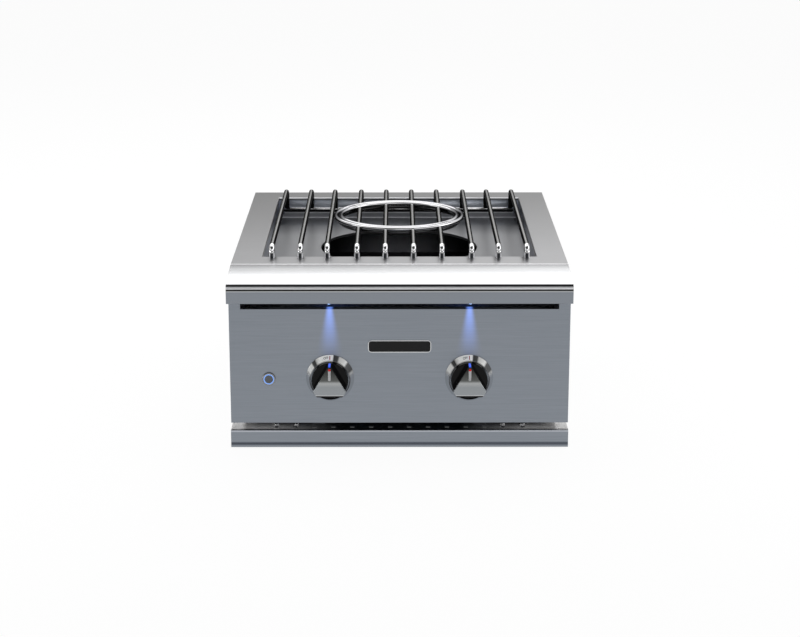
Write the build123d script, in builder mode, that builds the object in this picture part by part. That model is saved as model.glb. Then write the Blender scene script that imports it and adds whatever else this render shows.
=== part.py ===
from build123d import *
import os
from math import cos, radians, sin, sqrt, tan

# Built-in power burner, millimetres. X runs to the right, the front faces -Y, and the base stands at Z = 0.

# Deck and nose
opening_width = 460.0
opening_depth = 477.0
side_flange = 49.4
front_flange = 55.0
rear_flange = 51.0
deck_height = 295.0
nose_depth = 102.0
sheet = 1.5
lip_depth = 30.2
hem_width = 10.0
seam_flange = 12.0
bend_radius = 2.0
edge_round = 0.8
nose_start_slope = 3.0
nose_end_slope = 8.5
nose_radius = 10.0
seam_round = 1.5
apron_drop = 41.0
nose_hem = 22.0

# Recess pan and burner box
recess_depth = 39.6
recess_rim = 11.0
rim_gap = 3.5
burner_hole_radius = 140.5
hole_lip = 5.0
box_depth = 106.0
box_flange = 8.0
air_hole_radius = 6.0
air_hole_count = 12
air_hole_circle = 105.0

# Fascia, bottom pan and chassis panels
fascia_setback = 41.0
fascia_bottom = 39.6
fascia_slot_drop = 60.5
fascia_ear = 19.0
fascia_return = 25.0
pan_height = 29.2
rail_lead = 9.0
rail_depth = 48.0
pan_return = 14.0
rail_groove_height = 2.2
rail_groove_level = 6.0
rail_groove_depth = 0.9
vent_width = 7.0
vent_length = 10.0
vent_count = 14
vent_pitch = 31.5
vent_setback = 18.0
rear_gap = 8.5
panel_flange = 14.0
panel_notch = 20.0
panel_foot_notch = 60.0
rear_vent_length = 44.0
rear_vent_height = 6.0
rear_vent_columns = 5
rear_vent_rows = 3
rear_vent_pitch = 18.0
rear_vent_drop = 70.0
shield_bottom = 60.0
shield_setback = 4.0
lead_hole_radius = 3.5
grommet_radius = 7.0
grommet_flange = 3.0

# Knobs, bezels and valves
knob_spacing = 228.8
knob_height = 117.8
knob_radius = 30.0
knob_projection = 39.0
knob_shoulder = 19.0
knob_clearance = 1.0
knob_wall = 4.0
grip_side_distance = 16.9
grip_base_distance = 21.9
grip_half_angle = 30.0
grip_round = 1.0
push_travel = 3.5
bezel_radius = 39.5
bezel_height = 15.0
bezel_rim = 2.0
bezel_gap = 2.2
bezel_lip = 1.0
pointer_width = 4.5
pointer_length = 21.0
pointer_thickness = 0.7
pointer_pocket = 0.4
pointer_top_gap = 3.0
stem_radius = 4.0
stem_collar_radius = 6.5
stem_collar_length = 2.0
stem_collar_setback = 6.0
stem_depth_in_knob = 20.0
stem_hole_radius = 10.0
washer_radius = 8.0
washer_thickness = 1.5
spring_length = 10.0
spring_mean_radius = 6.2
spring_wire = 1.2
spring_turns = 4
bonnet_radius = 13.0
bonnet_length = 12.0
valve_width = 30.0
valve_body_length = 28.0
outlet_radius = 8.0
outlet_length = 12.0
inlet_radius = 7.0
inlet_drop = 4.0
orifice_radius = 5.0
orifice_hex_length = 5.5
orifice_length = 16.0
orifice_taper = 6.0
orifice_bore_radius = 1.0

# Gas line
manifold_radius = 10.0
manifold_wall = 2.0
manifold_overhang = 45.6
manifold_plate = 3.0
manifold_plate_width = 26.0
manifold_foot = 18.0
supply_radius = 8.0
supply_wall = 1.5
supply_bend = 24.0
supply_offset = 32.0
inlet_hex = 22.0
inlet_hex_length = 8.0
inlet_thread_radius = 7.94
inlet_thread_length = 16.0
inlet_bore_radius = 5.0

# Burners and mixer tubes
burner_drop = 79.0
ring_outer_radius = 66.0
ring_inner_radius = 44.0
ring_height = 20.0
ring_crown = 6.0
inner_radius = 26.0
inner_height = 18.0
inner_land_radius = 13.0
inner_port_circle = 17.0
port_width = 1.6
port_length = 9.0
port_count = 36
inner_port_count = 16
cradle_thickness = 3.0
cradle_foot_radius = 6.0
cradle_margin = 4.0
cradle_collar_radius = 17.5
tube_radius = 11.0
tube_wall = 1.5
tube_bend = 26.0
tube_lead = 45.0
tube_rise_gap = 90.0
bell_radius = 16.0
bell_length = 18.0
shutter_wall = 1.5
shutter_window = 9.0
igniter_radius = 3.5
igniter_flange_radius = 7.0
igniter_tip_radius = 1.2
igniter_gap = 5.0
igniter_below = 16.0
module_width = 60.0
module_depth = 80.0
module_height = 30.0
module_round = 4.0
module_edge = 2.0
module_inset = 57.0
module_setback = 150.0

# Push button and lamps
button_inset = 64.0
button_height = 115.7
button_head_radius = 11.0
button_head_length = 3.0
button_barrel_radius = 9.3
button_cap_radius = 6.7
button_cap_proud = 0.4
button_cap_length = 14.0
button_travel = 2.0
light_ring_radius = 8.75
light_ring_depth = 2.0
light_ring_land = 0.35
button_nut_across = 24.0
button_nut_thickness = 4.0
switch_radius = 8.5
switch_length = 22.0
terminal_pitch = 8.5
terminal_width = 3.0
terminal_thickness = 0.8
terminal_length = 8.5
lamp_radius = 4.0
lamp_drop = 2.5
lamp_flange_radius = 5.5
light_bar_overhang = 35.6
light_bar_depth = 14.0
light_bar_height = 6.0

# Grate
rod_radius = 4.5
rod_top = 22.9
rod_bend = 9.0
rod_pair_count = 5
cut_pair_count = 2
rod_side_gap = 16.1
wok_rod_shift = 2.35
front_leg_setback = 8.0
rear_leg_setback = 24.0
cross_rod_radius = 3.5
cross_rod_drop = 17.3
cross_rod_end_gap = 4.0
leg_seat = 0.8
ring_rod_radius = 4.2
ring_lift = 2.5
ring_spacing = 9.7
seat_ring_radius = 4.0
rest_length = 26.0
rest_depth = 12.0
rest_thickness = 2.0
rest_drop = 7.0

# Screws
screw_radius = 2.0
screw_head_radius = 4.5
screw_head_height = 2.6
screw_length = 10.0
pan_screw_insets = (74.4, 107.4)
pan_screw_setback = 31.0
rear_screw_inset = 32.0

# Clearances
slip_gap = 0.3
fit_gap = 0.1
sheet_gap = 0.5

# Places that follow from the sizes
deck_width = opening_width + 2 * side_flange
deck_depth = front_flange + opening_depth + rear_flange
overall_depth = nose_depth + deck_depth
y_front = -overall_depth / 2
y_seam = y_front + nose_depth
y_open_front = y_seam + front_flange
y_open_rear = y_open_front + opening_depth
y_back = y_open_rear + rear_flange
y_open_mid = (y_open_front + y_open_rear) / 2
y_deck_mid = (y_seam + y_back) / 2
y_fascia = y_front + fascia_setback
y_rail = y_fascia - rail_lead
deck_underside = deck_height - sheet
apron_bottom = deck_height - apron_drop
recess_floor = deck_height - recess_depth
recess_wall_x = opening_width / 2 + sheet + sheet_gap
recess_wall_y = opening_depth / 2 + sheet + sheet_gap
y_rear_panel = y_open_mid + recess_wall_y + recess_rim + rear_gap + sheet
panel_half = recess_wall_x + recess_rim + rim_gap + panel_flange
chassis_width = 2 * (panel_half + sheet)
box_floor = deck_height - box_depth
box_outer_x = recess_wall_x + sheet - box_flange
box_outer_y = recess_wall_y + sheet - box_flange
fascia_top = deck_height - fascia_slot_drop
knob_x = knob_spacing / 2
knob_standoff = push_travel + knob_clearance
button_x = button_inset - deck_width / 2
button_cap_depth = button_cap_length - button_head_length - button_cap_proud
button_barrel_length = button_cap_depth + button_travel + knob_clearance

# The valve train behind the fascia, measured back from its face: the stem's collar, the thrust washer and the
# return spring stand in a row in front of the valve's bonnet.
collar_back = stem_collar_setback + stem_collar_length
washer_back = collar_back + washer_thickness
bonnet_face = washer_back + spring_length
body_face = bonnet_face + bonnet_length
body_back = body_face + valve_body_length
outlet_back = body_back + outlet_length
manifold_y = y_fascia + body_face + valve_body_length / 2
manifold_z = knob_height - valve_width / 2 - inlet_drop - manifold_radius
manifold_length = knob_spacing + 2 * manifold_overhang
supply_x = manifold_length / 2 + supply_offset
grommet_x = -supply_x
sides = (("left", -1), ("right", 1))

os.makedirs("parts", exist_ok=True)


def front_plane(x, z):
    """A plane on the fascia's face: its normal points out towards the user."""
    return Plane(origin=(x, y_fascia, z), x_dir=(1, 0, 0), z_dir=(0, -1, 0))


def lathe_plane(x, z):
    """A plane through a knob's axis: local X is the radius, local Y points out of the fascia."""
    return Plane(origin=(x, y_fascia, z), x_dir=(1, 0, 0), z_dir=(0, 0, -1))


def lathe_axis(x, z):
    """The axis that a knob, bezel or button is turned about."""
    return Axis((x, y_fascia, z), (0, -1, 0))


def save(piece, name):
    """Label a finished piece and write it as its own file."""
    piece.part.label = name
    export_step(piece.part, f"parts/{name}.step")


# Top deck: one brushed sheet with the square opening, a lip turned down round it, hemmed side and rear edges,
# and a small flange turned down along the seam with the nose.
with BuildPart() as top_deck:
    with BuildSketch(Plane.XY.offset(deck_underside)):
        with Locations((0, y_deck_mid)):
            Rectangle(deck_width, deck_depth)
        with Locations((0, y_open_mid)):
            Rectangle(opening_width, opening_depth, mode=Mode.SUBTRACT)
    extrude(amount=sheet)
    with BuildSketch(Plane.XY.offset(deck_height - lip_depth)):
        with Locations((0, y_open_mid)):
            Rectangle(opening_width + 2 * sheet, opening_depth + 2 * sheet)
            Rectangle(opening_width, opening_depth, mode=Mode.SUBTRACT)
    extrude(amount=lip_depth - sheet)
    with BuildSketch(Plane.XY.offset(deck_underside - sheet)):
        with Locations((0, y_deck_mid)):
            Rectangle(deck_width, deck_depth)
        with Locations((0, y_deck_mid - hem_width)):
            Rectangle(deck_width - 2 * hem_width, deck_depth, mode=Mode.SUBTRACT)
    extrude(amount=sheet)
    with BuildSketch(Plane.XY.offset(deck_height - seam_flange)):
        with Locations((0, y_seam + sheet / 2)):
            Rectangle(deck_width, sheet)
    extrude(amount=seam_flange - sheet)
    deck_face = top_deck.faces().sort_by(Axis.Z)[-1]
    fillet(deck_face.inner_wires()[0].edges(), bend_radius)
    fillet(top_deck.faces().sort_by(Axis.Z)[-1].outer_wire().edges(), edge_round)
save(top_deck, "top_deck")

# Front nose: a bent sheet that falls gently from the seam, rolls over the front edge into a short apron and
# turns back under it in a hem with two lamp holes. Its ends are closed by flat plates.
start_rad = radians(nose_start_slope)
end_rad = radians(nose_end_slope)
crown_span = nose_depth - nose_radius * (1 - sin(end_rad)) - seam_round * (1 + sin(start_rad))
crown_radius = crown_span / (sin(end_rad) - sin(start_rad))
seam_arc_base = deck_height - seam_round * cos(start_rad)
lamp_y = y_front + nose_hem / 2
with BuildPart() as front_nose:
    with BuildSketch(Plane.YZ):
        with BuildLine():
            rise = Line((y_seam, deck_height - seam_flange), (y_seam, seam_arc_base))
            seam_arc = JernArc(rise @ 1, rise % 1, seam_round, 90 + nose_start_slope)
            crown = JernArc(seam_arc @ 1, seam_arc % 1, crown_radius, nose_end_slope - nose_start_slope)
            brow = JernArc(crown @ 1, crown % 1, nose_radius, 90 - nose_end_slope)
            apron = Line(brow @ 1, (y_front, apron_bottom + bend_radius))
            hem_arc = JernArc(apron @ 1, apron % 1, bend_radius, 90)
            hem = Line(hem_arc @ 1, (y_front + nose_hem, apron_bottom))
            offset(amount=sheet, side=Side.LEFT)
        make_face()
    extrude(amount=deck_width / 2, both=True)
    for end_plane in (Plane.YZ.offset(-deck_width / 2), Plane.YZ.offset(deck_width / 2 - sheet)):
        with BuildSketch(end_plane):
            with BuildLine():
                add(seam_arc)
                add(crown)
                add(brow)
                add(apron)
                add(hem_arc)
                Polyline(hem_arc @ 1, (y_seam, apron_bottom), rise @ 1)
            make_face()
        extrude(amount=sheet)
    with BuildSketch(Plane.XY.offset(apron_bottom)):
        with Locations((-knob_x, lamp_y), (knob_x, lamp_y)):
            Circle(lamp_radius + slip_gap)
    extrude(amount=sheet, mode=Mode.SUBTRACT)
save(front_nose, "front_nose")

# Recess pan: a tray hung under the deck by its rim, with the round burner hole lipped downwards in its floor.
with BuildPart() as recess_pan:
    with BuildSketch(Plane.XY.offset(recess_floor - sheet)):
        with Locations((0, y_open_mid)):
            Rectangle(2 * (recess_wall_x + sheet), 2 * (recess_wall_y + sheet))
            Circle(burner_hole_radius, mode=Mode.SUBTRACT)
    extrude(amount=sheet)
    with BuildSketch(Plane.XY.offset(recess_floor)):
        with Locations((0, y_open_mid)):
            Rectangle(2 * (recess_wall_x + sheet), 2 * (recess_wall_y + sheet))
            Rectangle(2 * recess_wall_x, 2 * recess_wall_y, mode=Mode.SUBTRACT)
    extrude(amount=recess_depth - sheet)
    with BuildSketch(Plane.XY.offset(deck_underside - sheet)):
        with Locations((0, y_open_mid)):
            Rectangle(2 * (recess_wall_x + recess_rim), 2 * (recess_wall_y + recess_rim))
            Rectangle(2 * recess_wall_x, 2 * recess_wall_y, mode=Mode.SUBTRACT)
    extrude(amount=sheet)
    with BuildSketch(Plane.XY.offset(recess_floor - hole_lip)):
        with Locations((0, y_open_mid)):
            Circle(burner_hole_radius + sheet)
            Circle(burner_hole_radius, mode=Mode.SUBTRACT)
    extrude(amount=hole_lip)
    floor_rings = recess_pan.edges().filter_by(GeomType.CIRCLE).filter_by(
        lambda e: abs(e.center().Z - recess_floor) < edge_round
    )
    fillet(floor_rings.sort_by(SortBy.RADIUS)[0], edge_round)
save(recess_pan, "recess_pan")

# Burner box: a tub under the pan, flanged to its floor. The bottom has a ring of air holes, two holes for the
# mixer tubes' risers and one for the igniter.
outer_riser_x = -(ring_outer_radius + ring_inner_radius) / 2
igniter_y = y_open_mid + ring_outer_radius + igniter_gap + igniter_radius
with BuildPart() as burner_box:
    with BuildSketch(Plane.XY.offset(box_floor - sheet)):
        with Locations((0, y_open_mid)):
            Rectangle(2 * box_outer_x, 2 * box_outer_y)
    extrude(amount=sheet)
    with BuildSketch(Plane.XY.offset(box_floor)):
        with Locations((0, y_open_mid)):
            Rectangle(2 * box_outer_x, 2 * box_outer_y)
            Rectangle(2 * (box_outer_x - sheet), 2 * (box_outer_y - sheet), mode=Mode.SUBTRACT)
    extrude(amount=recess_floor - sheet - box_floor)
    with BuildSketch(Plane.XY.offset(recess_floor - 2 * sheet)):
        with Locations((0, y_open_mid)):
            Rectangle(2 * (box_outer_x + box_flange), 2 * (box_outer_y + box_flange))
            Rectangle(2 * (box_outer_x - sheet), 2 * (box_outer_y - sheet), mode=Mode.SUBTRACT)
    extrude(amount=sheet)
    with BuildSketch(Plane.XY.offset(box_floor - sheet)):
        with Locations((0, y_open_mid)):
            with PolarLocations(air_hole_circle, air_hole_count):
                Circle(air_hole_radius)
        with Locations((outer_riser_x, y_open_mid), (0, y_open_mid)):
            Circle(tube_radius + sheet_gap)
        with Locations((0, igniter_y)):
            Circle(igniter_radius + slip_gap)
    extrude(amount=sheet, mode=Mode.SUBTRACT)
save(burner_box, "burner_box")

# Fascia: the control panel. Its upper edge stops short of the nose to leave the air slot, apart from an ear
# at each end, and its edges are turned back.
fascia_ear_top = apron_bottom - slip_gap
fascia_inner_half = panel_half - panel_flange - sheet_gap
with BuildPart() as fascia:
    with BuildSketch(front_plane(0, 0)):
        with Locations((0, (fascia_bottom + fascia_top) / 2)):
            Rectangle(deck_width, fascia_top - fascia_bottom)
        ear_x = (deck_width - fascia_ear) / 2
        ear_z = (fascia_top + fascia_ear_top) / 2
        with Locations((-ear_x, ear_z), (ear_x, ear_z)):
            Rectangle(fascia_ear, fascia_ear_top - fascia_top)
        with Locations((-knob_x, knob_height), (knob_x, knob_height)):
            Circle(stem_hole_radius, mode=Mode.SUBTRACT)
        with Locations((button_x, button_height)):
            Circle(button_barrel_radius + fit_gap, mode=Mode.SUBTRACT)
    extrude(amount=-sheet)
    with BuildSketch(Plane.XY.offset(fascia_bottom)):
        return_y = y_fascia + (sheet + fascia_return) / 2
        side_mid = (deck_width - sheet) / 2
        with Locations((-side_mid, return_y), (side_mid, return_y)):
            Rectangle(sheet, fascia_return - sheet)
    extrude(amount=fascia_ear_top - fascia_bottom)
    for level in (fascia_bottom, fascia_top - sheet):
        with BuildSketch(Plane.XY.offset(level)):
            with Locations((0, y_fascia + sheet + panel_flange / 2)):
                Rectangle(2 * fascia_inner_half, panel_flange)
        extrude(amount=sheet)
    front_uprights = fascia.edges().filter_by(Axis.Z).filter_by(
        lambda e: e.center().Y < y_fascia + edge_round
    )
    fillet(front_uprights.sort_by(Axis.X)[0], edge_round)
    front_uprights = fascia.edges().filter_by(Axis.Z).filter_by(
        lambda e: e.center().Y < y_fascia + edge_round / 2
    )
    fillet(front_uprights.sort_by(Axis.X)[-1], edge_round)
save(fascia, "fascia")


def pan_plan(inset):
    """The bottom pan's outline: a full-width rail in front, the narrower chassis behind it."""
    with Locations((0, y_rail + rail_depth / 2)):
        Rectangle(deck_width - 2 * inset, rail_depth - 2 * inset)
    chassis_depth = y_rear_panel - y_rail
    with Locations((0, y_rail + chassis_depth / 2)):
        Rectangle(chassis_width - 2 * inset, chassis_depth - 2 * inset)


# Bottom pan: an inverted tray. Its front skirt is the rail under the fascia, with a groove above the hem, and
# the ledge behind the rail has a row of vent slots.
pan_screw_x = [deck_width / 2 - inset for inset in pan_screw_insets]
with BuildPart() as bottom_pan:
    with BuildSketch(Plane.XY.offset(pan_height - sheet)):
        pan_plan(0)
    extrude(amount=sheet)
    with BuildSketch():
        pan_plan(0)
        with BuildSketch(mode=Mode.PRIVATE) as pan_inside:
            pan_plan(sheet)
        add(pan_inside.sketch, mode=Mode.SUBTRACT)
    extrude(amount=pan_height - sheet)
    with BuildSketch():
        pan_plan(0)
        with BuildSketch(mode=Mode.PRIVATE) as pan_hollow:
            pan_plan(pan_return)
        add(pan_hollow.sketch, mode=Mode.SUBTRACT)
    extrude(amount=sheet)
    with BuildSketch(Plane.XY.offset(pan_height - sheet)):
        with Locations((0, y_rail + vent_setback)):
            with GridLocations(vent_pitch, vent_length, vent_count, 1):
                Rectangle(vent_width, vent_length)
        screw_y = y_rail + pan_screw_setback
        for screw_x in pan_screw_x:
            with Locations((-screw_x, screw_y), (screw_x, screw_y)):
                Circle(screw_radius + fit_gap)
    extrude(amount=sheet, mode=Mode.SUBTRACT)
    with BuildSketch(Plane.XY.offset(rail_groove_level)):
        with Locations((0, y_rail + rail_groove_depth / 2)):
            Rectangle(deck_width, rail_groove_depth)
    extrude(amount=rail_groove_height, mode=Mode.SUBTRACT)
    rail_edge = bottom_pan.edges().filter_by(Axis.X).filter_by(
        lambda e: e.center().Y < y_rail + edge_round and e.center().Z > pan_height - edge_round
    )
    fillet(rail_edge, edge_round)
save(bottom_pan, "bottom_pan")

# Side panels: folded sheets between the bottom pan and the deck, stepped down in front to pass under the
# nose, with flanges turned in at the top, the bottom and behind the fascia. The front of the foot is cut away
# so that air also reaches the ledge's vents from the sides.
y_panel_front = y_fascia + sheet
y_foot_front = y_panel_front + panel_foot_notch
panel_step_y = y_seam + sheet + sheet_gap
panel_top = deck_underside
panel_step_top = deck_height - panel_notch
y_flange_end = y_rear_panel - sheet - panel_flange - sheet_gap
rear_screw_y = y_rear_panel - sheet - panel_flange / 2
panel_mid = (pan_height + panel_top) / 2
rear_screw_levels = (pan_height + rear_screw_inset, panel_mid, panel_top - rear_screw_inset)
for side, sign in sides:
    inner_x = sign * panel_half
    flange_mid = inner_x - sign * panel_flange / 2
    with BuildPart() as side_panel:
        with BuildSketch(Plane.YZ.offset(inner_x)):
            with BuildLine():
                Polyline(
                    (y_panel_front, fascia_bottom),
                    (y_foot_front, fascia_bottom),
                    (y_foot_front, pan_height),
                    (y_rear_panel, pan_height),
                    (y_rear_panel, panel_top),
                    (panel_step_y, panel_top),
                    (panel_step_y, panel_step_top),
                    (y_panel_front, panel_step_top),
                    close=True,
                )
            make_face()
            for level in rear_screw_levels:
                with Locations((rear_screw_y, level)):
                    Circle(screw_radius + fit_gap, mode=Mode.SUBTRACT)
        extrude(amount=sign * sheet)
        with BuildSketch(Plane.XY.offset(pan_height)):
            with Locations((flange_mid, (y_foot_front + y_flange_end) / 2)):
                Rectangle(panel_flange, y_flange_end - y_foot_front)
        extrude(amount=sheet)
        with BuildSketch(Plane.XY.offset(panel_top - sheet)):
            with Locations((flange_mid, (panel_step_y + y_flange_end) / 2)):
                Rectangle(panel_flange, y_flange_end - panel_step_y)
        extrude(amount=sheet)
        with BuildSketch(Plane.XY.offset(fascia_bottom)):
            with Locations((flange_mid, y_panel_front + sheet / 2)):
                Rectangle(panel_flange, sheet)
        extrude(amount=fascia_top - fascia_bottom)
    save(side_panel, f"{side}_side_panel")

# Rear panel: a sheet between the side panels with rows of vent slots, the gas inlet's hole and a lead hole.
with BuildPart() as rear_panel:
    with BuildSketch(Plane(origin=(0, y_rear_panel, 0), x_dir=(-1, 0, 0), z_dir=(0, 1, 0))):
        with Locations((0, panel_mid)):
            Rectangle(2 * panel_half, panel_top - pan_height)
        with Locations((0, deck_height - rear_vent_drop)):
            vent_span = 2 * panel_half / (rear_vent_columns + 1)
            with GridLocations(vent_span, rear_vent_pitch, rear_vent_columns, rear_vent_rows):
                SlotOverall(rear_vent_length, rear_vent_height, mode=Mode.SUBTRACT)
        with Locations((-supply_x, manifold_z)):
            Circle(supply_radius + slip_gap, mode=Mode.SUBTRACT)
        with Locations((-grommet_x, manifold_z)):
            Circle(grommet_radius, mode=Mode.SUBTRACT)
    extrude(amount=-sheet)
    with BuildSketch(Plane.XY.offset(pan_height)):
        flange_y = y_rear_panel - sheet - panel_flange / 2
        flange_x = panel_half - sheet / 2
        with Locations((-flange_x, flange_y), (flange_x, flange_y)):
            Rectangle(sheet, panel_flange)
    extrude(amount=panel_top - pan_height)
    for level in rear_screw_levels:
        for sign in (-1, 1):
            with BuildSketch(Plane.YZ.offset(sign * (panel_half - sheet))):
                with Locations((rear_screw_y, level)):
                    Circle(screw_radius + fit_gap)
            extrude(amount=sign * sheet, mode=Mode.SUBTRACT)
save(rear_panel, "rear_panel")

# Lead grommet: a rubber ring in the rear panel for the lamps' low-voltage lead.
with BuildPart() as lead_grommet:
    with BuildSketch(Plane(origin=(grommet_x, y_rear_panel, manifold_z), x_dir=(1, 0, 0), z_dir=(0, 0, -1))):
        with BuildLine():
            Polyline(
                (lead_hole_radius, -grommet_flange),
                (lead_hole_radius, sheet + grommet_flange),
                (grommet_radius + grommet_flange, sheet + grommet_flange),
                (grommet_radius + grommet_flange, sheet),
                (grommet_radius - fit_gap, sheet),
                (grommet_radius - fit_gap, 0),
                (grommet_radius + grommet_flange, 0),
                (grommet_radius + grommet_flange, -grommet_flange),
                close=True,
            )
        make_face()
    revolve(axis=Axis((grommet_x, y_rear_panel, manifold_z), (0, 1, 0)))
save(lead_grommet, "lead_grommet")

# Heat shield: a sheet across the chassis between the burner box and the valves, cut for the gas tubes.
shield_y = y_open_mid - recess_wall_y - recess_rim - shield_setback
shield_top = recess_floor - sheet - hole_lip
shield_hole = bell_radius + sheet_gap
with BuildPart() as heat_shield:
    with BuildSketch(Plane(origin=(0, shield_y, 0), x_dir=(1, 0, 0), z_dir=(0, -1, 0))):
        with Locations((0, (shield_bottom + shield_top) / 2)):
            Rectangle(2 * panel_half, shield_top - shield_bottom)
        with Locations((-knob_x, knob_height), (knob_x, knob_height)):
            Circle(shield_hole, mode=Mode.SUBTRACT)
        with Locations((supply_x, manifold_z)):
            Circle(supply_radius + sheet_gap, mode=Mode.SUBTRACT)
    extrude(amount=sheet)
save(heat_shield, "heat_shield")

# Bezels: turned cone rings fixed on the fascia round the knobs.
bezel_bore = knob_radius + bezel_gap
for side, sign in sides:
    with BuildPart() as bezel:
        with BuildSketch(lathe_plane(sign * knob_x, knob_height)):
            with BuildLine():
                Polyline(
                    (bezel_bore, 0),
                    (bezel_radius, 0),
                    (bezel_radius, bezel_rim),
                    (bezel_bore + bezel_lip, bezel_height),
                    (bezel_bore, bezel_height),
                    close=True,
                )
            make_face()
        revolve(axis=lathe_axis(sign * knob_x, knob_height))
        fillet(bezel.edges().filter_by(GeomType.CIRCLE).sort_by(Axis.Y)[0:2], 0.4 * bezel_lip)
    save(bezel, f"{side}_bezel")

# Knobs: a round skirt hollow from behind, with a hub for the stem, and a raised grip whose outline is the
# skirt's circle cut by three straight sides, point up.
grip_apex = grip_side_distance / sin(radians(grip_half_angle))
grip_base_half = (grip_apex + grip_base_distance) * tan(radians(grip_half_angle))
pointer_mid = knob_radius - pointer_top_gap - pointer_length / 2
for side, sign in sides:
    x = sign * knob_x
    face = front_plane(x, knob_height)
    with BuildPart() as knob:
        with BuildSketch(face.offset(knob_standoff)):
            Circle(knob_radius)
        extrude(amount=knob_shoulder - knob_standoff)
        fillet(knob.edges().filter_by(GeomType.CIRCLE).sort_by(Axis.Y)[0], grip_round)
        with BuildSketch(face.offset(knob_shoulder)):
            Circle(knob_radius)
            with BuildLine():
                Polyline(
                    (0, grip_apex),
                    (-grip_base_half, -grip_base_distance),
                    (grip_base_half, -grip_base_distance),
                    close=True,
                )
            make_face(mode=Mode.INTERSECT)
        extrude(amount=knob_projection - knob_shoulder)
        fillet(knob.faces().sort_by(Axis.Y)[0].edges(), grip_round)
        with BuildSketch(face.offset(knob_standoff)):
            Circle(knob_radius - knob_wall)
            Circle(stem_radius + knob_wall, mode=Mode.SUBTRACT)
        extrude(amount=knob_shoulder - knob_standoff - knob_wall, mode=Mode.SUBTRACT)
        with BuildSketch(face.offset(knob_standoff)):
            Circle(stem_radius + fit_gap)
        extrude(amount=stem_depth_in_knob + fit_gap, mode=Mode.SUBTRACT)
        with BuildSketch(face.offset(knob_projection - pointer_pocket)):
            with Locations((0, pointer_mid)):
                SlotOverall(pointer_length, pointer_width, rotation=90)
        extrude(amount=pointer_pocket, mode=Mode.SUBTRACT)
    save(knob, f"{side}_knob")

    # Pointer: a light inlay in the grip's face.
    with BuildPart() as pointer:
        with BuildSketch(face.offset(knob_projection - pointer_pocket)):
            with Locations((0, pointer_mid)):
                SlotOverall(pointer_length - 2 * fit_gap, pointer_width - 2 * fit_gap, rotation=90)
        extrude(amount=pointer_thickness)
    save(pointer, f"{side}_knob_pointer")

    # Valve stem: a rod from the knob's hub into the valve's bonnet, with a collar behind the fascia.
    with BuildPart() as stem:
        with BuildSketch(face.offset(knob_standoff + stem_depth_in_knob)):
            Circle(stem_radius)
        extrude(amount=-(knob_standoff + stem_depth_in_knob + bonnet_face + bonnet_length))
        with BuildSketch(face.offset(-stem_collar_setback)):
            Circle(stem_collar_radius)
        extrude(amount=-stem_collar_length)
    save(stem, f"{side}_valve_stem")

    # Thrust washer: slides with the stem and doesn't turn, between the collar and the spring.
    with BuildPart() as washer:
        with BuildSketch(face.offset(-collar_back)):
            Circle(washer_radius)
            Circle(stem_radius + slip_gap, mode=Mode.SUBTRACT)
        extrude(amount=-washer_thickness)
    save(washer, f"{side}_thrust_washer")

    # Return spring: a coil round the stem between the washer and the bonnet.
    coil_height = spring_length - spring_wire - 2 * fit_gap
    coil_start = (x, y_fascia + bonnet_face - fit_gap - spring_wire / 2, knob_height)
    with BuildPart() as spring:
        with BuildLine() as coil_path:
            Helix(
                pitch=coil_height / spring_turns,
                height=coil_height,
                radius=spring_mean_radius,
                center=coil_start,
                direction=(0, -1, 0),
            )
        with BuildSketch(Plane(origin=coil_path.line @ 0, z_dir=coil_path.line % 0)):
            Circle(spring_wire / 2)
        sweep(is_frenet=True)
    save(spring, f"{side}_return_spring")

    # Valve body: a bonnet bored for the stem, a block, an outlet boss behind it and an inlet boss that
    # saddles the manifold below.
    with BuildPart() as valve:
        with BuildSketch(face.offset(-bonnet_face)):
            Circle(bonnet_radius)
        extrude(amount=-bonnet_length)
        with BuildSketch(face.offset(-body_face)):
            RectangleRounded(valve_width, valve_width, knob_wall)
        extrude(amount=-valve_body_length)
        with BuildSketch(face.offset(-body_back)):
            Circle(outlet_radius)
        extrude(amount=-outlet_length)
        with BuildSketch(Plane(origin=(x, manifold_y, knob_height), z_dir=(0, 0, -1))):
            Circle(inlet_radius)
        extrude(amount=valve_width / 2 + inlet_drop + manifold_radius / 2)
        with BuildSketch(Plane.YZ.offset(x)):
            with Locations((manifold_y, manifold_z)):
                Circle(manifold_radius + fit_gap)
        extrude(amount=inlet_radius + sheet_gap, both=True, mode=Mode.SUBTRACT)
        with BuildSketch(face.offset(-bonnet_face)):
            Circle(stem_radius + slip_gap)
        extrude(amount=-(bonnet_length + push_travel + knob_clearance), mode=Mode.SUBTRACT)
    save(valve, f"{side}_valve_body")

    # Orifice: the gas jet, a drilled spud screwed on the valve's outlet.
    with BuildPart() as orifice:
        with BuildSketch(face.offset(-outlet_back)):
            RegularPolygon(outlet_radius, 6)
        extrude(amount=-orifice_hex_length)
        with BuildSketch(face.offset(-outlet_back - orifice_hex_length)):
            Circle(orifice_radius)
        extrude(amount=orifice_hex_length - orifice_length, taper=orifice_taper)
        with BuildSketch(face.offset(-outlet_back)):
            Circle(orifice_bore_radius)
        extrude(amount=-orifice_length, mode=Mode.SUBTRACT)
    save(orifice, f"{side}_orifice")

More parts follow.
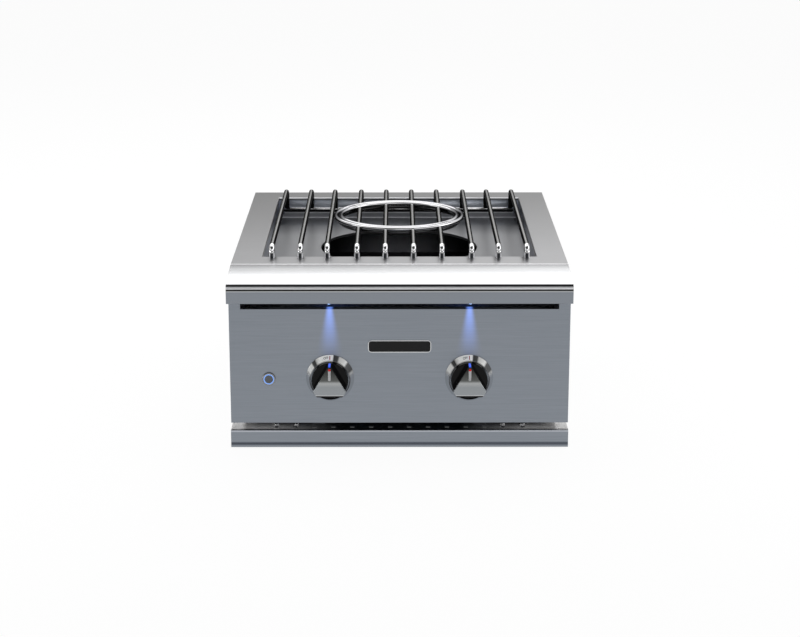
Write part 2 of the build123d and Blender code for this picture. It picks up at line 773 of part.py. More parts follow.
    # Mixer tube: starts in a bell round the orifice, runs back under the burner box and turns up through its
    # floor.
    shutter_front = y_fascia + outlet_back + orifice_hex_length
    bell_front = shutter_front + shutter_wall
    riser_x = outer_riser_x if side == "left" else 0
    riser_top = deck_height - burner_drop - (ring_height if side == "left" else inner_height)
    tube_start = (x, bell_front + bell_length, knob_height)
    with BuildPart() as tube:
        with BuildLine() as tube_path:
            FilletPolyline(
                tube_start,
                (x, bell_front + bell_length + tube_lead, knob_height),
                (riser_x, y_open_mid - tube_rise_gap, knob_height),
                (riser_x, y_open_mid, knob_height),
                (riser_x, y_open_mid, riser_top),
                radius=tube_bend,
            )
        with BuildSketch(Plane(origin=tube_start, x_dir=(1, 0, 0), z_dir=(0, 1, 0))):
            Circle(tube_radius)
            Circle(tube_radius - tube_wall, mode=Mode.SUBTRACT)
        sweep()
        with BuildSketch(Plane(origin=(x, bell_front, knob_height), x_dir=(1, 0, 0), z_dir=(0, 0, -1))):
            with BuildLine():
                Polyline(
                    (bell_radius, 0),
                    (bell_radius - tube_wall, 0),
                    (tube_radius - tube_wall, -bell_length),
                    (tube_radius, -bell_length),
                    close=True,
                )
            make_face()
        revolve(axis=Axis((x, bell_front, knob_height), (0, 1, 0)))
    save(tube, f"{side}_mixer_tube")

    # Air shutter: a capped collar on the bell's mouth, bored for the orifice, with two air windows.
    with BuildPart() as shutter:
        with BuildSketch(Plane(origin=(x, shutter_front, knob_height), x_dir=(1, 0, 0), z_dir=(0, 1, 0))):
            Circle(bell_radius)
            Circle(orifice_radius + fit_gap, mode=Mode.SUBTRACT)
            with Locations((shutter_window, 0), (-shutter_window, 0)):
                SlotOverall(shutter_window, shutter_window / 2, rotation=90, mode=Mode.SUBTRACT)
        extrude(amount=shutter_wall)
    save(shutter, f"{side}_air_shutter")

    # Manifold bracket: a bent plate screwed to the bottom pan that holds the manifold.
    bracket_x = sign * (manifold_length / 2 - manifold_foot)
    with BuildPart() as bracket:
        plate_top = manifold_z + manifold_radius + manifold_plate
        with BuildSketch(Plane.YZ.offset(bracket_x)):
            with Locations((manifold_y, (pan_height + plate_top) / 2)):
                Rectangle(manifold_plate_width, plate_top - pan_height)
            with Locations((manifold_y, manifold_z)):
                Circle(manifold_radius + fit_gap, mode=Mode.SUBTRACT)
        extrude(amount=sign * manifold_plate)
        with BuildSketch(Plane.XY.offset(pan_height)):
            with Locations((bracket_x - sign * manifold_foot / 2, manifold_y)):
                Rectangle(manifold_foot, manifold_plate_width)
        extrude(amount=manifold_plate)
    save(bracket, f"{side}_manifold_bracket")

# Gas manifold: a capped pipe across the chassis under both valves.
with BuildPart() as gas_manifold:
    with BuildSketch(Plane.YZ.offset(-manifold_length / 2)):
        with Locations((manifold_y, manifold_z)):
            Circle(manifold_radius)
    extrude(amount=manifold_length)
    with BuildSketch(Plane.YZ.offset(-manifold_length / 2 + manifold_wall)):
        with Locations((manifold_y, manifold_z)):
            Circle(manifold_radius - manifold_wall)
    extrude(amount=manifold_length - 2 * manifold_wall, mode=Mode.SUBTRACT)
save(gas_manifold, "gas_manifold")

# Supply pipe: from the manifold's right end back to the inlet in the rear panel.
supply_end = y_rear_panel - sheet - inlet_hex_length
with BuildPart() as supply_pipe:
    pipe_start = (manifold_length / 2, manifold_y, manifold_z)
    with BuildLine():
        FilletPolyline(
            pipe_start,
            (supply_x, manifold_y, manifold_z),
            (supply_x, supply_end, manifold_z),
            radius=supply_bend,
        )
    with BuildSketch(Plane(origin=pipe_start, z_dir=(1, 0, 0))):
        Circle(supply_radius)
        Circle(supply_radius - supply_wall, mode=Mode.SUBTRACT)
    sweep()
save(supply_pipe, "supply_pipe")

# Gas inlet: a flare fitting through the rear panel, with a hex outside and a male thread behind it.
inlet_plane = Plane(origin=(supply_x, supply_end, manifold_z), x_dir=(1, 0, 0), z_dir=(0, 1, 0))
with BuildPart() as gas_inlet:
    with BuildSketch(inlet_plane):
        Circle(supply_radius)
    extrude(amount=inlet_hex_length + sheet)
    with BuildSketch(inlet_plane.offset(inlet_hex_length + sheet)):
        RegularPolygon(inlet_hex / 2, 6, major_radius=False)
    extrude(amount=inlet_hex_length)
    with BuildSketch(inlet_plane.offset(2 * inlet_hex_length + sheet)):
        Circle(inlet_thread_radius)
    extrude(amount=inlet_thread_length)
    with BuildSketch(inlet_plane):
        Circle(inlet_bore_radius)
    extrude(amount=2 * inlet_hex_length + sheet + inlet_thread_length, mode=Mode.SUBTRACT)
save(gas_inlet, "gas_inlet")

# Burners: a hollow cast ring and a round head inside it, with port slots cut in their tops.
burner_top = deck_height - burner_drop
ring_base = burner_top - ring_height
inner_base = burner_top - inner_height
ring_mid = (ring_outer_radius + ring_inner_radius) / 2
burner_lathe = Plane(origin=(0, y_open_mid, 0), x_dir=(1, 0, 0), z_dir=(0, -1, 0))
burner_axis = Axis((0, y_open_mid, 0), (0, 0, 1))
with BuildPart() as outer_burner_ring:
    with BuildSketch(burner_lathe):
        with BuildLine():
            Polyline(
                (ring_inner_radius, burner_top - ring_crown),
                (ring_inner_radius, ring_base),
                (ring_outer_radius, ring_base),
                (ring_outer_radius, burner_top - ring_crown),
            )
            ThreePointArc(
                (ring_outer_radius, burner_top - ring_crown),
                (ring_mid, burner_top),
                (ring_inner_radius, burner_top - ring_crown),
            )
        make_face()
    revolve(axis=burner_axis)
    with BuildSketch(Plane.XY.offset(burner_top - ring_crown)):
        with Locations((0, y_open_mid)):
            with PolarLocations(ring_mid, port_count):
                Rectangle(port_length, port_width)
    extrude(amount=ring_crown, mode=Mode.SUBTRACT)
save(outer_burner_ring, "outer_burner_ring")

with BuildPart() as inner_burner:
    with BuildSketch(burner_lathe):
        with BuildLine():
            Polyline(
                (0, burner_top),
                (0, inner_base),
                (tube_radius + tube_wall, inner_base),
                (inner_radius, burner_top - ring_crown),
                (inner_land_radius, burner_top),
                close=True,
            )
        make_face()
    revolve(axis=burner_axis)
    with BuildSketch(Plane.XY.offset(burner_top - ring_crown)):
        with Locations((0, y_open_mid)):
            with PolarLocations(inner_port_circle, inner_port_count):
                Rectangle(port_length, port_width)
    extrude(amount=ring_crown, mode=Mode.SUBTRACT)
save(inner_burner, "inner_burner")

# Burner cradle: a pressed plate on three feet that carries both burners off the box's floor.
cradle_top = min(ring_base, inner_base)
cradle_inner_top = max(ring_base, inner_base)
with BuildPart() as burner_cradle:
    with BuildSketch(Plane.XY.offset(cradle_top - cradle_thickness)):
        with Locations((0, y_open_mid)):
            Circle(ring_outer_radius + cradle_margin)
            with Locations((outer_riser_x, 0), (0, 0)):
                Circle(tube_radius + sheet_gap, mode=Mode.SUBTRACT)
    extrude(amount=cradle_thickness)
    with BuildSketch(Plane.XY.offset(box_floor)):
        with Locations((0, y_open_mid)):
            with PolarLocations(ring_mid, 3, start_angle=90):
                Circle(cradle_foot_radius)
    extrude(amount=cradle_top - cradle_thickness - box_floor)
    with BuildSketch(Plane.XY.offset(cradle_top)):
        with Locations((0, y_open_mid)):
            Circle(cradle_collar_radius)
            Circle(tube_radius + sheet_gap, mode=Mode.SUBTRACT)
    extrude(amount=cradle_inner_top - cradle_top)
save(burner_cradle, "burner_cradle")

# Igniter: a ceramic post through the box's floor, with a flange on it and the electrode's tip at the ring.
with BuildPart() as igniter:
    with BuildSketch(Plane.XY.offset(box_floor - igniter_below)):
        with Locations((0, igniter_y)):
            Circle(igniter_radius)
    extrude(amount=igniter_below + burner_top - 2 * ring_crown - box_floor)
    with BuildSketch(Plane.XY.offset(box_floor)):
        with Locations((0, igniter_y)):
            Circle(igniter_flange_radius)
    extrude(amount=sheet)
    with BuildSketch(Plane.XY.offset(burner_top - 2 * ring_crown)):
        with Locations((0, igniter_y)):
            Circle(igniter_tip_radius)
    extrude(amount=ring_crown)
save(igniter, "igniter")

# Ignition module: a closed box on the bottom pan.
with BuildPart() as ignition_module:
    with BuildSketch(Plane.XY.offset(pan_height)):
        with Locations((module_inset - chassis_width / 2, y_fascia + module_setback)):
            RectangleRounded(module_width, module_depth, module_round)
    extrude(amount=module_height)
    fillet(ignition_module.faces().sort_by(Axis.Z)[-1].edges(), module_edge)
save(ignition_module, "ignition_module")

# Push button: a flanged barrel through the fascia, a light ring let into its head, the cap that is pushed,
# a nut behind the panel and the switch on the barrel's end.
button_face = front_plane(button_x, button_height)
cap_bore = button_cap_radius + slip_gap
with BuildPart() as button_bezel:
    with BuildSketch(button_face):
        Circle(button_head_radius)
    extrude(amount=button_head_length)
    fillet(button_bezel.edges().filter_by(GeomType.CIRCLE).sort_by(Axis.Y)[0], edge_round)
    with BuildSketch(button_face):
        Circle(button_barrel_radius)
    extrude(amount=-button_barrel_length)
    with BuildSketch(button_face.offset(button_head_length)):
        Circle(cap_bore)
    extrude(amount=-(button_head_length + button_barrel_length), mode=Mode.SUBTRACT)
    with BuildSketch(button_face.offset(button_head_length)):
        Circle(light_ring_radius)
    extrude(amount=-light_ring_depth, mode=Mode.SUBTRACT)
save(button_bezel, "button_bezel")

with BuildPart() as button_light_ring:
    with BuildSketch(button_face.offset(button_head_length - light_ring_depth)):
        Circle(light_ring_radius - fit_gap)
        Circle(cap_bore, mode=Mode.SUBTRACT)
    extrude(amount=light_ring_depth)
save(button_light_ring, "button_light_ring")

with BuildPart() as button_cap:
    with BuildSketch(button_face.offset(button_head_length + button_cap_proud)):
        Circle(button_cap_radius)
    extrude(amount=-button_cap_length)
    fillet(button_cap.edges().filter_by(GeomType.CIRCLE).sort_by(Axis.Y)[0], light_ring_land)
save(button_cap, "button_cap")

with BuildPart() as button_nut:
    with BuildSketch(button_face.offset(-sheet)):
        RegularPolygon(button_nut_across / 2, 6, major_radius=False)
        Circle(button_barrel_radius + fit_gap, mode=Mode.SUBTRACT)
    extrude(amount=-button_nut_thickness)
save(button_nut, "button_nut")

with BuildPart() as switch_body:
    with BuildSketch(button_face.offset(-button_barrel_length)):
        Circle(switch_radius)
    extrude(amount=-switch_length)
    with BuildSketch(button_face.offset(-button_barrel_length - switch_length)):
        with GridLocations(terminal_pitch, terminal_pitch, 2, 2):
            Rectangle(terminal_thickness, terminal_width)
    extrude(amount=-terminal_length)
save(switch_body, "switch_body")

# Knob lamps: a carrier bar on the nose's hem, and a domed lamp through each of the hem's holes.
bar_base = apron_bottom + sheet
with BuildPart() as light_bar:
    with BuildSketch(Plane.XY.offset(bar_base)):
        with Locations((0, lamp_y)):
            Rectangle(knob_spacing + 2 * light_bar_overhang, light_bar_depth)
        with Locations((-knob_x, lamp_y), (knob_x, lamp_y)):
            Circle(lamp_flange_radius + fit_gap, mode=Mode.SUBTRACT)
    extrude(amount=light_bar_height)
save(light_bar, "light_bar")

for side, sign in sides:
    with BuildPart() as lamp:
        with BuildSketch(Plane.XY.offset(bar_base)):
            with Locations((sign * knob_x, lamp_y)):
                Circle(lamp_flange_radius)
        extrude(amount=light_bar_height)
        with BuildSketch(Plane.XY.offset(bar_base)):
            with Locations((sign * knob_x, lamp_y)):
                Circle(lamp_radius)
        extrude(amount=-(sheet + lamp_drop))
        fillet(lamp.edges().filter_by(GeomType.CIRCLE).sort_by(Axis.Z)[0], lamp_drop)
    save(lamp, f"{side}_lamp")

# Grate: evenly spaced rods bent down at both ends, standing on the deck in front and on a cross rod behind.
# The middle pairs are cut where the wok rings pass, and the pair outside the rings stands off to clear them.
rod_pitch = (opening_width - 2 * rod_side_gap) / (2 * rod_pair_count - 1)
rod_offsets = [(pair + 0.5) * rod_pitch for pair in range(rod_pair_count)]
rod_offsets[cut_pair_count] += wok_rod_shift
whole_rod_x = rod_offsets[cut_pair_count]
rod_z = deck_height + rod_top - rod_radius
leg_front_y = y_open_front - front_leg_setback
leg_rear_y = y_open_rear - rear_leg_setback
cross_z = deck_height - cross_rod_drop
ring_y = (leg_front_y + leg_rear_y) / 2
outer_ring_r = whole_rod_x - rod_radius - fit_gap - ring_rod_radius
inner_ring_r = outer_ring_r - ring_spacing
ring_z = deck_height + rod_top + ring_lift - ring_rod_radius
seat_ring_r = (outer_ring_r + inner_ring_r) / 2
seat_reach = ring_rod_radius + seat_ring_radius + slip_gap
seat_ring_z = ring_z - sqrt(seat_reach ** 2 - (ring_spacing / 2) ** 2)
ring_lathe = Plane(origin=(0, ring_y, 0), x_dir=(1, 0, 0), z_dir=(0, -1, 0))
ring_axis = Axis((0, ring_y, 0), (0, 0, 1))
leg_foot = cross_z + cross_rod_radius - leg_seat


def ring_solid(mean_radius, level, wire_radius):
    """Revolve one closed ring of round rod about the wok's axis."""
    with BuildSketch(ring_lathe) as wire:
        with Locations((mean_radius, level)):
            Circle(wire_radius)
    revolve(wire.sketch, axis=ring_axis)


with BuildPart() as grate_cross_rod:
    half_span = opening_width / 2 - cross_rod_end_gap
    with BuildSketch(Plane.YZ.offset(-half_span)):
        with Locations((leg_rear_y, cross_z)):
            Circle(cross_rod_radius)
    extrude(amount=2 * half_span)
save(grate_cross_rod, "grate_cross_rod")

with BuildPart() as grate_outer_ring:
    ring_solid(outer_ring_r, ring_z, ring_rod_radius)
save(grate_outer_ring, "grate_outer_ring")

with BuildPart() as grate_seat_ring:
    ring_solid(seat_ring_r, seat_ring_z, seat_ring_radius)
save(grate_seat_ring, "grate_seat_ring")

with BuildPart() as centre_ring:
    ring_solid(inner_ring_r, ring_z, ring_rod_radius)
save(centre_ring, "centre_ring")

with BuildPart() as ring_keepout:
    with BuildSketch(Plane.XY.offset(rod_z - 2 * rod_radius)):
        with Locations((0, ring_y)):
            Circle(outer_ring_r)
    extrude(amount=4 * rod_radius)
    ring_solid(outer_ring_r, ring_z, ring_rod_radius + fit_gap)

rod_lines = [sign * offset_x for offset_x in rod_offsets for sign in (-1, 1)]
with BuildPart() as grate_rods:
    for rod_x in rod_lines:
        with BuildLine():
            FilletPolyline(
                (rod_x, leg_front_y, deck_height),
                (rod_x, leg_front_y, rod_z),
                (rod_x, leg_rear_y, rod_z),
                (rod_x, leg_rear_y, leg_foot),
                radius=rod_bend,
            )
        with BuildSketch(Plane.XY.offset(deck_height)):
            with Locations((rod_x, leg_front_y)):
                Circle(rod_radius)
        sweep()
    with BuildSketch(Plane.YZ.offset(-opening_width / 2)):
        with Locations((leg_rear_y, cross_z)):
            Circle(cross_rod_radius + fit_gap)
    extrude(amount=opening_width, mode=Mode.SUBTRACT)
    add(ring_keepout.part, mode=Mode.SUBTRACT)
save(grate_rods, "grate_rods")

cut_rod_lines = [rod_x for rod_x in rod_lines if abs(rod_x) < whole_rod_x]
with BuildPart() as centre_rods:
    with BuildSketch(Plane(origin=(0, ring_y, rod_z), x_dir=(1, 0, 0), z_dir=(0, 1, 0))):
        for rod_x in cut_rod_lines:
            with Locations((rod_x, 0)):
                Circle(rod_radius)
    extrude(amount=inner_ring_r, both=True)
    with BuildSketch(Plane.XY.offset(rod_z - 2 * rod_radius)):
        with Locations((0, ring_y)):
            Circle(inner_ring_r)
    extrude(amount=4 * rod_radius, mode=Mode.INTERSECT)
    with BuildSketch(ring_lathe):
        with Locations((inner_ring_r, ring_z)):
            Circle(ring_rod_radius + fit_gap)
    revolve(axis=ring_axis, mode=Mode.SUBTRACT)
save(centre_rods, "centre_rods")

# Grate rests: small angle brackets on the opening's side lips under the cross rod's ends.
rest_top = cross_z - cross_rod_radius - slip_gap
for side, sign in sides:
    wall_x = sign * opening_width / 2
    with BuildPart() as grate_rest:
        with BuildSketch(Plane.XZ.offset(-leg_rear_y - rest_length / 2)):
            with BuildLine():
                Polyline(
                    (wall_x, rest_top),
                    (wall_x - sign * rest_depth, rest_top),
                    (wall_x - sign * rest_depth, rest_top - rest_thickness),
                    (wall_x - sign * rest_thickness, rest_top - rest_thickness),
                    (wall_x - sign * rest_thickness, rest_top - rest_drop),
                    (wall_x, rest_top - rest_drop),
                    close=True,
                )
            make_face()
        extrude(amount=rest_length)
    save(grate_rest, f"{side}_grate_rest")

# Screws: round heads with their shanks, four on the bottom ledge and three down each side of the rear panel.
with BuildPart() as pan_screws:
    for screw_x in pan_screw_x:
        for sign in (-1, 1):
            with BuildSketch(Plane.XY.offset(pan_height)):
                with Locations((sign * screw_x, screw_y)):
                    Circle(screw_head_radius)
            extrude(amount=screw_head_height)
            with BuildSketch(Plane.XY.offset(pan_height)):
                with Locations((sign * screw_x, screw_y)):
                    Circle(screw_radius)
            extrude(amount=-screw_length)
    fillet(pan_screws.edges().filter_by(GeomType.CIRCLE).group_by(Axis.Z)[-1], screw_head_height / 2)
save(pan_screws, "pan_screws")

with BuildPart() as rear_panel_screws:
    for level in rear_screw_levels:
        for sign in (-1, 1):
            panel_face = Plane.YZ.offset(sign * chassis_width / 2)
            with BuildSketch(panel_face):
                with Locations((rear_screw_y, level)):
                    Circle(screw_head_radius)
            extrude(amount=sign * screw_head_height)
            with BuildSketch(panel_face):
                with Locations((rear_screw_y, level)):
                    Circle(screw_radius)
            extrude(amount=-sign * screw_length)
save(rear_panel_screws, "rear_panel_screws")
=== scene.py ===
import math

import bmesh
import bpy
from mathutils import Matrix, Vector


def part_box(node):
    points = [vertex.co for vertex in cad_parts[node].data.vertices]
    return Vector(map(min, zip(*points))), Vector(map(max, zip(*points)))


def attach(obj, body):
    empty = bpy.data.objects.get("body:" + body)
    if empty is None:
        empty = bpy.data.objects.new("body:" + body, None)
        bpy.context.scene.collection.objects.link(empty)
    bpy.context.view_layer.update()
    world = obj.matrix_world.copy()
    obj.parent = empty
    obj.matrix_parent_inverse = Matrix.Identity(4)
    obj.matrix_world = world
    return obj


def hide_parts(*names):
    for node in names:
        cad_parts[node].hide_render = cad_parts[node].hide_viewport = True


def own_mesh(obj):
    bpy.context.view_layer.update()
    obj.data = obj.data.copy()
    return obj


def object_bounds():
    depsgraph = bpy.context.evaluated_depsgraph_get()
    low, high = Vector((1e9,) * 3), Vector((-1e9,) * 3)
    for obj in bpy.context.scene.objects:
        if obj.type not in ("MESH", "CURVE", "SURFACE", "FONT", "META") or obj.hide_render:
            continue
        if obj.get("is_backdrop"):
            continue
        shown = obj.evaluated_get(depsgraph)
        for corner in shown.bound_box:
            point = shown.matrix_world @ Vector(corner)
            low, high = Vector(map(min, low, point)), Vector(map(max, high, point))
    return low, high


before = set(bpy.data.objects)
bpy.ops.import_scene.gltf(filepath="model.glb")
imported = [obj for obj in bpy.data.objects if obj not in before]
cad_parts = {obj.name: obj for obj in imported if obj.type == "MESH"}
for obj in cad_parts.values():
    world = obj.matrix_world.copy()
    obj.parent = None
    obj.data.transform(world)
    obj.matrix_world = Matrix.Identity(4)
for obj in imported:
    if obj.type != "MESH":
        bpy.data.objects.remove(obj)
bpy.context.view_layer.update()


# Bottom tray: a folded stainless tray upside down under the whole unit. Its front skirt shows as the rail
# below the control panel, brushed across, with a rolled hem along its foot and a ledge with slots on top.
# Painted shade darkens a band above the hem and the front of the ledge, and painted light pales the ends of
# the ledge and the rail's top edge.
def shader_of(material):
    """The shader that a material's patterns and masks feed."""
    return material.node_tree.nodes["Principled BSDF"]


def finish(name, **sockets):
    """A new material, with the plain values that stay the same all over its surface."""
    material = bpy.data.materials.new(name)
    material.use_nodes = True
    for socket, value in sockets.items():
        shader_of(material).inputs[socket.replace("_", " ")].default_value = value
    return material


def node(material, kind, **settings):
    """One more node in a material, world or group, with its settings."""
    tree = material.node_tree if hasattr(material, "node_tree") else material
    made = tree.nodes.new(kind)
    for key, value in settings.items():
        setattr(made, key, value)
    return made


def join(material, source, target):
    """A link between two sockets of one tree."""
    tree = material.node_tree if hasattr(material, "node_tree") else material
    tree.links.new(source, target)


def feed(material, **sources):
    """Link patterns and masks to the sockets of a material's shader."""
    for socket, source in sources.items():
        join(material, source, shader_of(material).inputs[socket.replace("_", " ")])


def coat(material, *names):
    """Give CAD nodes their finish."""
    for name in names:
        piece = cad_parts[name]
        piece.data.materials.clear()
        piece.data.materials.append(material)


def spot_on(material, reading="Object"):
    """Where a point lies on the object, or which way its surface faces."""
    made = material.node_tree.nodes.get("Texture Coordinate")
    return (made or node(material, "ShaderNodeTexCoord")).outputs[reading]


def along(material, axis, reading="Object"):
    """A point's place, or its surface's facing, along one axis."""
    split = node(material, "ShaderNodeSeparateXYZ")
    join(material, spot_on(material, reading), split.inputs["Vector"])
    return split.outputs[axis]


def ranged(material, value, start, end, low=0.0, high=1.0, **settings):
    """A value carried from one range over to another and held at both ends."""
    carry = node(material, "ShaderNodeMapRange", **settings)
    carry.inputs["From Min"].default_value = start
    carry.inputs["From Max"].default_value = end
    carry.inputs["To Min"].default_value = low
    carry.inputs["To Max"].default_value = high
    join(material, value, carry.inputs["Value"])
    return carry.outputs["Result"]


def figure(material, operation, one, other=None):
    """One step of arithmetic, on sockets or plain numbers."""
    step = node(material, "ShaderNodeMath", operation=operation)
    for entry, value in zip(step.inputs, (one, other)):
        if isinstance(value, (int, float)):
            entry.default_value = value
        elif value is not None:
            join(material, value, entry)
    return step.outputs[0]


def toned(material, value, *stops):
    """The colour that a value picks from a row of stops, each a position and a colour."""
    ramp = node(material, "ShaderNodeValToRGB")
    row = ramp.color_ramp.elements
    for end, (position, colour) in ((row[0], stops[0]), (row[1], stops[-1])):
        end.position = position
        end.color = (*colour, 1)
    for position, colour in stops[1:-1]:
        stop = row.new(position)
        stop.color = (*colour, 1)
    join(material, value, ramp.inputs["Fac"])
    return ramp.outputs["Color"]


def blended(material, mask, under, over):
    """One colour laid over another as far as a mask says, each a socket or a plain colour."""
    blend = node(material, "ShaderNodeMix", data_type="RGBA")
    for entry, colour in (("A", under), ("B", over)):
        if isinstance(colour, tuple):
            blend.inputs[entry].default_value = (*colour, 1)
        else:
            join(material, colour, blend.inputs[entry])
    join(material, mask, blend.inputs["Factor"])
    return blend.outputs["Result"]


def zone(material, axis, level, start, end, reading="Object"):
    """A mask that rises from nothing to full between two distances from a level on one axis."""
    return ranged(material, along(material, axis, reading), level + start, level + end)


def both(material, *masks):
    """The part that all the masks share."""
    shared = masks[0]
    for mask in masks[1:]:
        shared = figure(material, "MULTIPLY", shared, mask)
    return shared


def either(material, one, other):
    """All that one mask or another covers."""
    return figure(material, "MAXIMUM", one, other)


def retone(material, mask, colour):
    """Bring another colour in over what the base colour was, where a mask says so."""
    base = shader_of(material).inputs["Base Color"].links[0].from_socket
    feed(material, Base_Color=blended(material, mask, base, colour))


def matt(material, mask, metal):
    """Let a metal scatter light like a matt surface where a mask says so."""
    feed(material, Metallic=ranged(material, mask, 0.0, 1.0, 1.0, metal))


def pattern_group(name, inputs, outputs):
    """A node group with its named inputs and outputs, and the sockets to work between."""
    group = bpy.data.node_groups.new(name, "ShaderNodeTree")
    for way, sockets in (("INPUT", inputs), ("OUTPUT", outputs)):
        for title, kind in sockets.items():
            group.interface.new_socket(name=title, in_out=way, socket_type=f"NodeSocket{kind}")
    return group, node(group, "NodeGroupInput").outputs, node(group, "NodeGroupOutput").inputs


def grain_group():
    """Brushing on sheet metal: fine lines drawn out along one direction, over slow patches of tone."""
    group, entry, leave = pattern_group(
        "brushed_grain",
        {"Vector": "Vector", "Stretch": "Vector", "Patch Scale": "Float"},
        {"Lines": "Float", "Patches": "Float"},
    )
    drawn = node(group, "ShaderNodeVectorMath", operation="MULTIPLY")
    lines = node(group, "ShaderNodeTexNoise")
    lines.inputs["Scale"].default_value = 1.0
    lines.inputs["Detail"].default_value = 5.0
    lines.inputs["Roughness"].default_value = 0.65
    patches = node(group, "ShaderNodeTexNoise")
    patches.inputs["Detail"].default_value = 2.0
    join(group, entry["Vector"], drawn.inputs[0])
    join(group, entry["Stretch"], drawn.inputs[1])
    join(group, drawn.outputs["Vector"], lines.inputs["Vector"])
    join(group, entry["Vector"], patches.inputs["Vector"])
    join(group, entry["Patch Scale"], patches.inputs["Scale"])
    join(group, lines.outputs["Fac"], leave["Lines"])
    join(group, patches.outputs["Fac"], leave["Patches"])
    return group


brushed_grain = grain_group()


def grain_on(material, stretch, patch_scale):
    """Brushed grain laid on a material along the object's own axes."""
    grain = node(material, "ShaderNodeGroup", node_tree=brushed_grain)
    grain.inputs["Stretch"].default_value = stretch
    grain.inputs["Patch Scale"].default_value = patch_scale
    join(material, spot_on(material), grain.inputs["Vector"])
    return grain.outputs


def patterned(material, tone_by, gloss_by, height_by, pale, deep, rough_low, rough_high, relief):
    """Let patterns shift a surface's colour and gloss, and stand on it as a slight relief."""
    bump = node(material, "ShaderNodeBump")
    bump.inputs["Strength"].default_value = relief
    bump.inputs["Distance"].default_value = 0.0002
    join(material, height_by, bump.inputs["Height"])
    feed(
        material,
        Base_Color=toned(material, tone_by, (0.3, deep), (0.7, pale)),
        Roughness=ranged(material, gloss_by, 0.0, 1.0, rough_low, rough_high),
        Normal=bump.outputs["Normal"],
    )


def brushed_steel(name, pale, deep, rough_low, rough_high, stretch, relief):
    """Brushed stainless: the lines shift its colour, slow patches its gloss, and the lines stand proud."""
    material = finish(name, Metallic=1.0)
    grain = grain_on(material, stretch, 7.0)
    lines = grain["Lines"]
    patterned(material, lines, grain["Patches"], lines, pale, deep, rough_low, rough_high, relief)
    return material


across = (12.0, 900.0, 900.0)
tray_low, tray_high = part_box("bottom_pan")
hem_tall = 0.0034
hem_shade_tall = 0.0052
ledge_dark_half = 0.10
ledge_pale_half = 0.21
rail_steel = brushed_steel(
    "rail_steel", (0.26, 0.282, 0.315), (0.227, 0.249, 0.279), 0.30, 0.36, across, 0.10
)
# Painted shade: a band above the hem is painted dark, as the shade at the hem's step.
above_hem = zone(rail_steel, "Z", hem_tall, -0.0005, 0.0005)
below_hem_shade = zone(rail_steel, "Z", hem_tall + hem_shade_tall, 0.0012, -0.0008)
retone(rail_steel, both(rail_steel, above_hem, below_hem_shade), (0.108, 0.12, 0.144))
ledge_top = zone(rail_steel, "Z", tray_high.z, -0.0006, -0.0002)
ledge_left = zone(rail_steel, "X", 0.0, -ledge_dark_half, -ledge_pale_half)
ledge_right = zone(rail_steel, "X", 0.0, ledge_dark_half, ledge_pale_half)
# Painted light: the ends of the ledge's top are painted pale and matt, as the light that reaches them from
# the sides.
ledge_painted_light = both(rail_steel, ledge_top, either(rail_steel, ledge_left, ledge_right))
retone(rail_steel, ledge_painted_light, (0.90, 0.89, 0.88))
matt(rail_steel, ledge_painted_light, 0.08)
# Painted shade: a near-black strip along the front of the ledge's top.
ledge_front_shade = zone(rail_steel, "Y", tray_low.y, 0.0085, 0.0065)
retone(rail_steel, both(rail_steel, ledge_top, ledge_front_shade), (0.02, 0.02, 0.021))
# Painted highlight: a pale line along the top edge of the rail's face.
rail_face = zone(rail_steel, "Y", tray_low.y, 0.0030, 0.0020)
rail_edge_highlight = zone(rail_steel, "Z", tray_high.z, -0.0030, -0.0024)
retone(rail_steel, both(rail_steel, rail_face, rail_edge_highlight), (0.44, 0.465, 0.505))
coat(rail_steel, "bottom_pan")


# Chassis sheets: the side and rear panels, the heat shield and the manifold's brackets are folded from plain
# galvanised sheet, with a faint crystal spangle, and are screwed together.
def spangle_group():
    """Zinc spangle: flat crystals a few millimetres across, each with its own tone."""
    group, entry, leave = pattern_group(
        "zinc_spangle", {"Vector": "Vector", "Scale": "Float"}, {"Crystal": "Float"}
    )
    cells = node(group, "ShaderNodeTexVoronoi")
    grey = node(group, "ShaderNodeRGBToBW")
    join(group, entry["Vector"], cells.inputs["Vector"])
    join(group, entry["Scale"], cells.inputs["Scale"])
    join(group, cells.outputs["Color"], grey.inputs["Color"])
    join(group, grey.outputs["Val"], leave["Crystal"])
    return group


galvanised = finish("galvanised_sheet", Metallic=1.0)
zinc = node(galvanised, "ShaderNodeGroup", node_tree=spangle_group())
zinc.inputs["Scale"].default_value = 140.0
join(galvanised, spot_on(galvanised), zinc.inputs["Vector"])
crystal = zinc.outputs["Crystal"]
feed(
    galvanised,
    Base_Color=toned(galvanised, crystal, (0.0, (0.33, 0.34, 0.355)), (1.0, (0.46, 0.47, 0.485))),
    Roughness=ranged(galvanised, crystal, 0.0, 1.0, 0.34, 0.48),
)
coat(galvanised, "left_side_panel", "right_side_panel", "rear_panel", "heat_shield")
coat(galvanised, "left_manifold_bracket", "right_manifold_bracket", "burner_cradle")

# Control panel: one brushed stainless sheet with turned-back edges. The blue beam that two lamps under the
# nose throw down it on to the bezels is painted light: the sheet itself glows blue there, which is part of
# how the panel looks when the unit is lit.
knob_low, knob_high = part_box("right_knob")
knob_axis_x = (knob_low.x + knob_high.x) / 2
knob_axis_z = (knob_low.z + knob_high.z) / 2
panel_low, panel_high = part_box("fascia")
bezel_low, bezel_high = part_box("right_bezel")
slot_bottom = panel_high.z - 0.0195
beam_foot = bezel_high.z - 0.012
beam_top_half = 0.0085
beam_foot_half = 0.028
painted_beam_blue = (0.12, 0.24, 0.78)


def off_axis(material):
    """How far a point lies to the side of the nearer knob's axis."""
    outward = figure(material, "ABSOLUTE", along(material, "X"))
    return figure(material, "ABSOLUTE", figure(material, "SUBTRACT", outward, knob_axis_x))


def glow(material, power, colour, strength):
    """Paint light on a surface: let it give off a colour of its own as far as a mask says."""
    feed(material, Emission_Color=blended(material, power, (0.0, 0.0, 0.0), colour))
    shader_of(material).inputs["Emission Strength"].default_value = strength


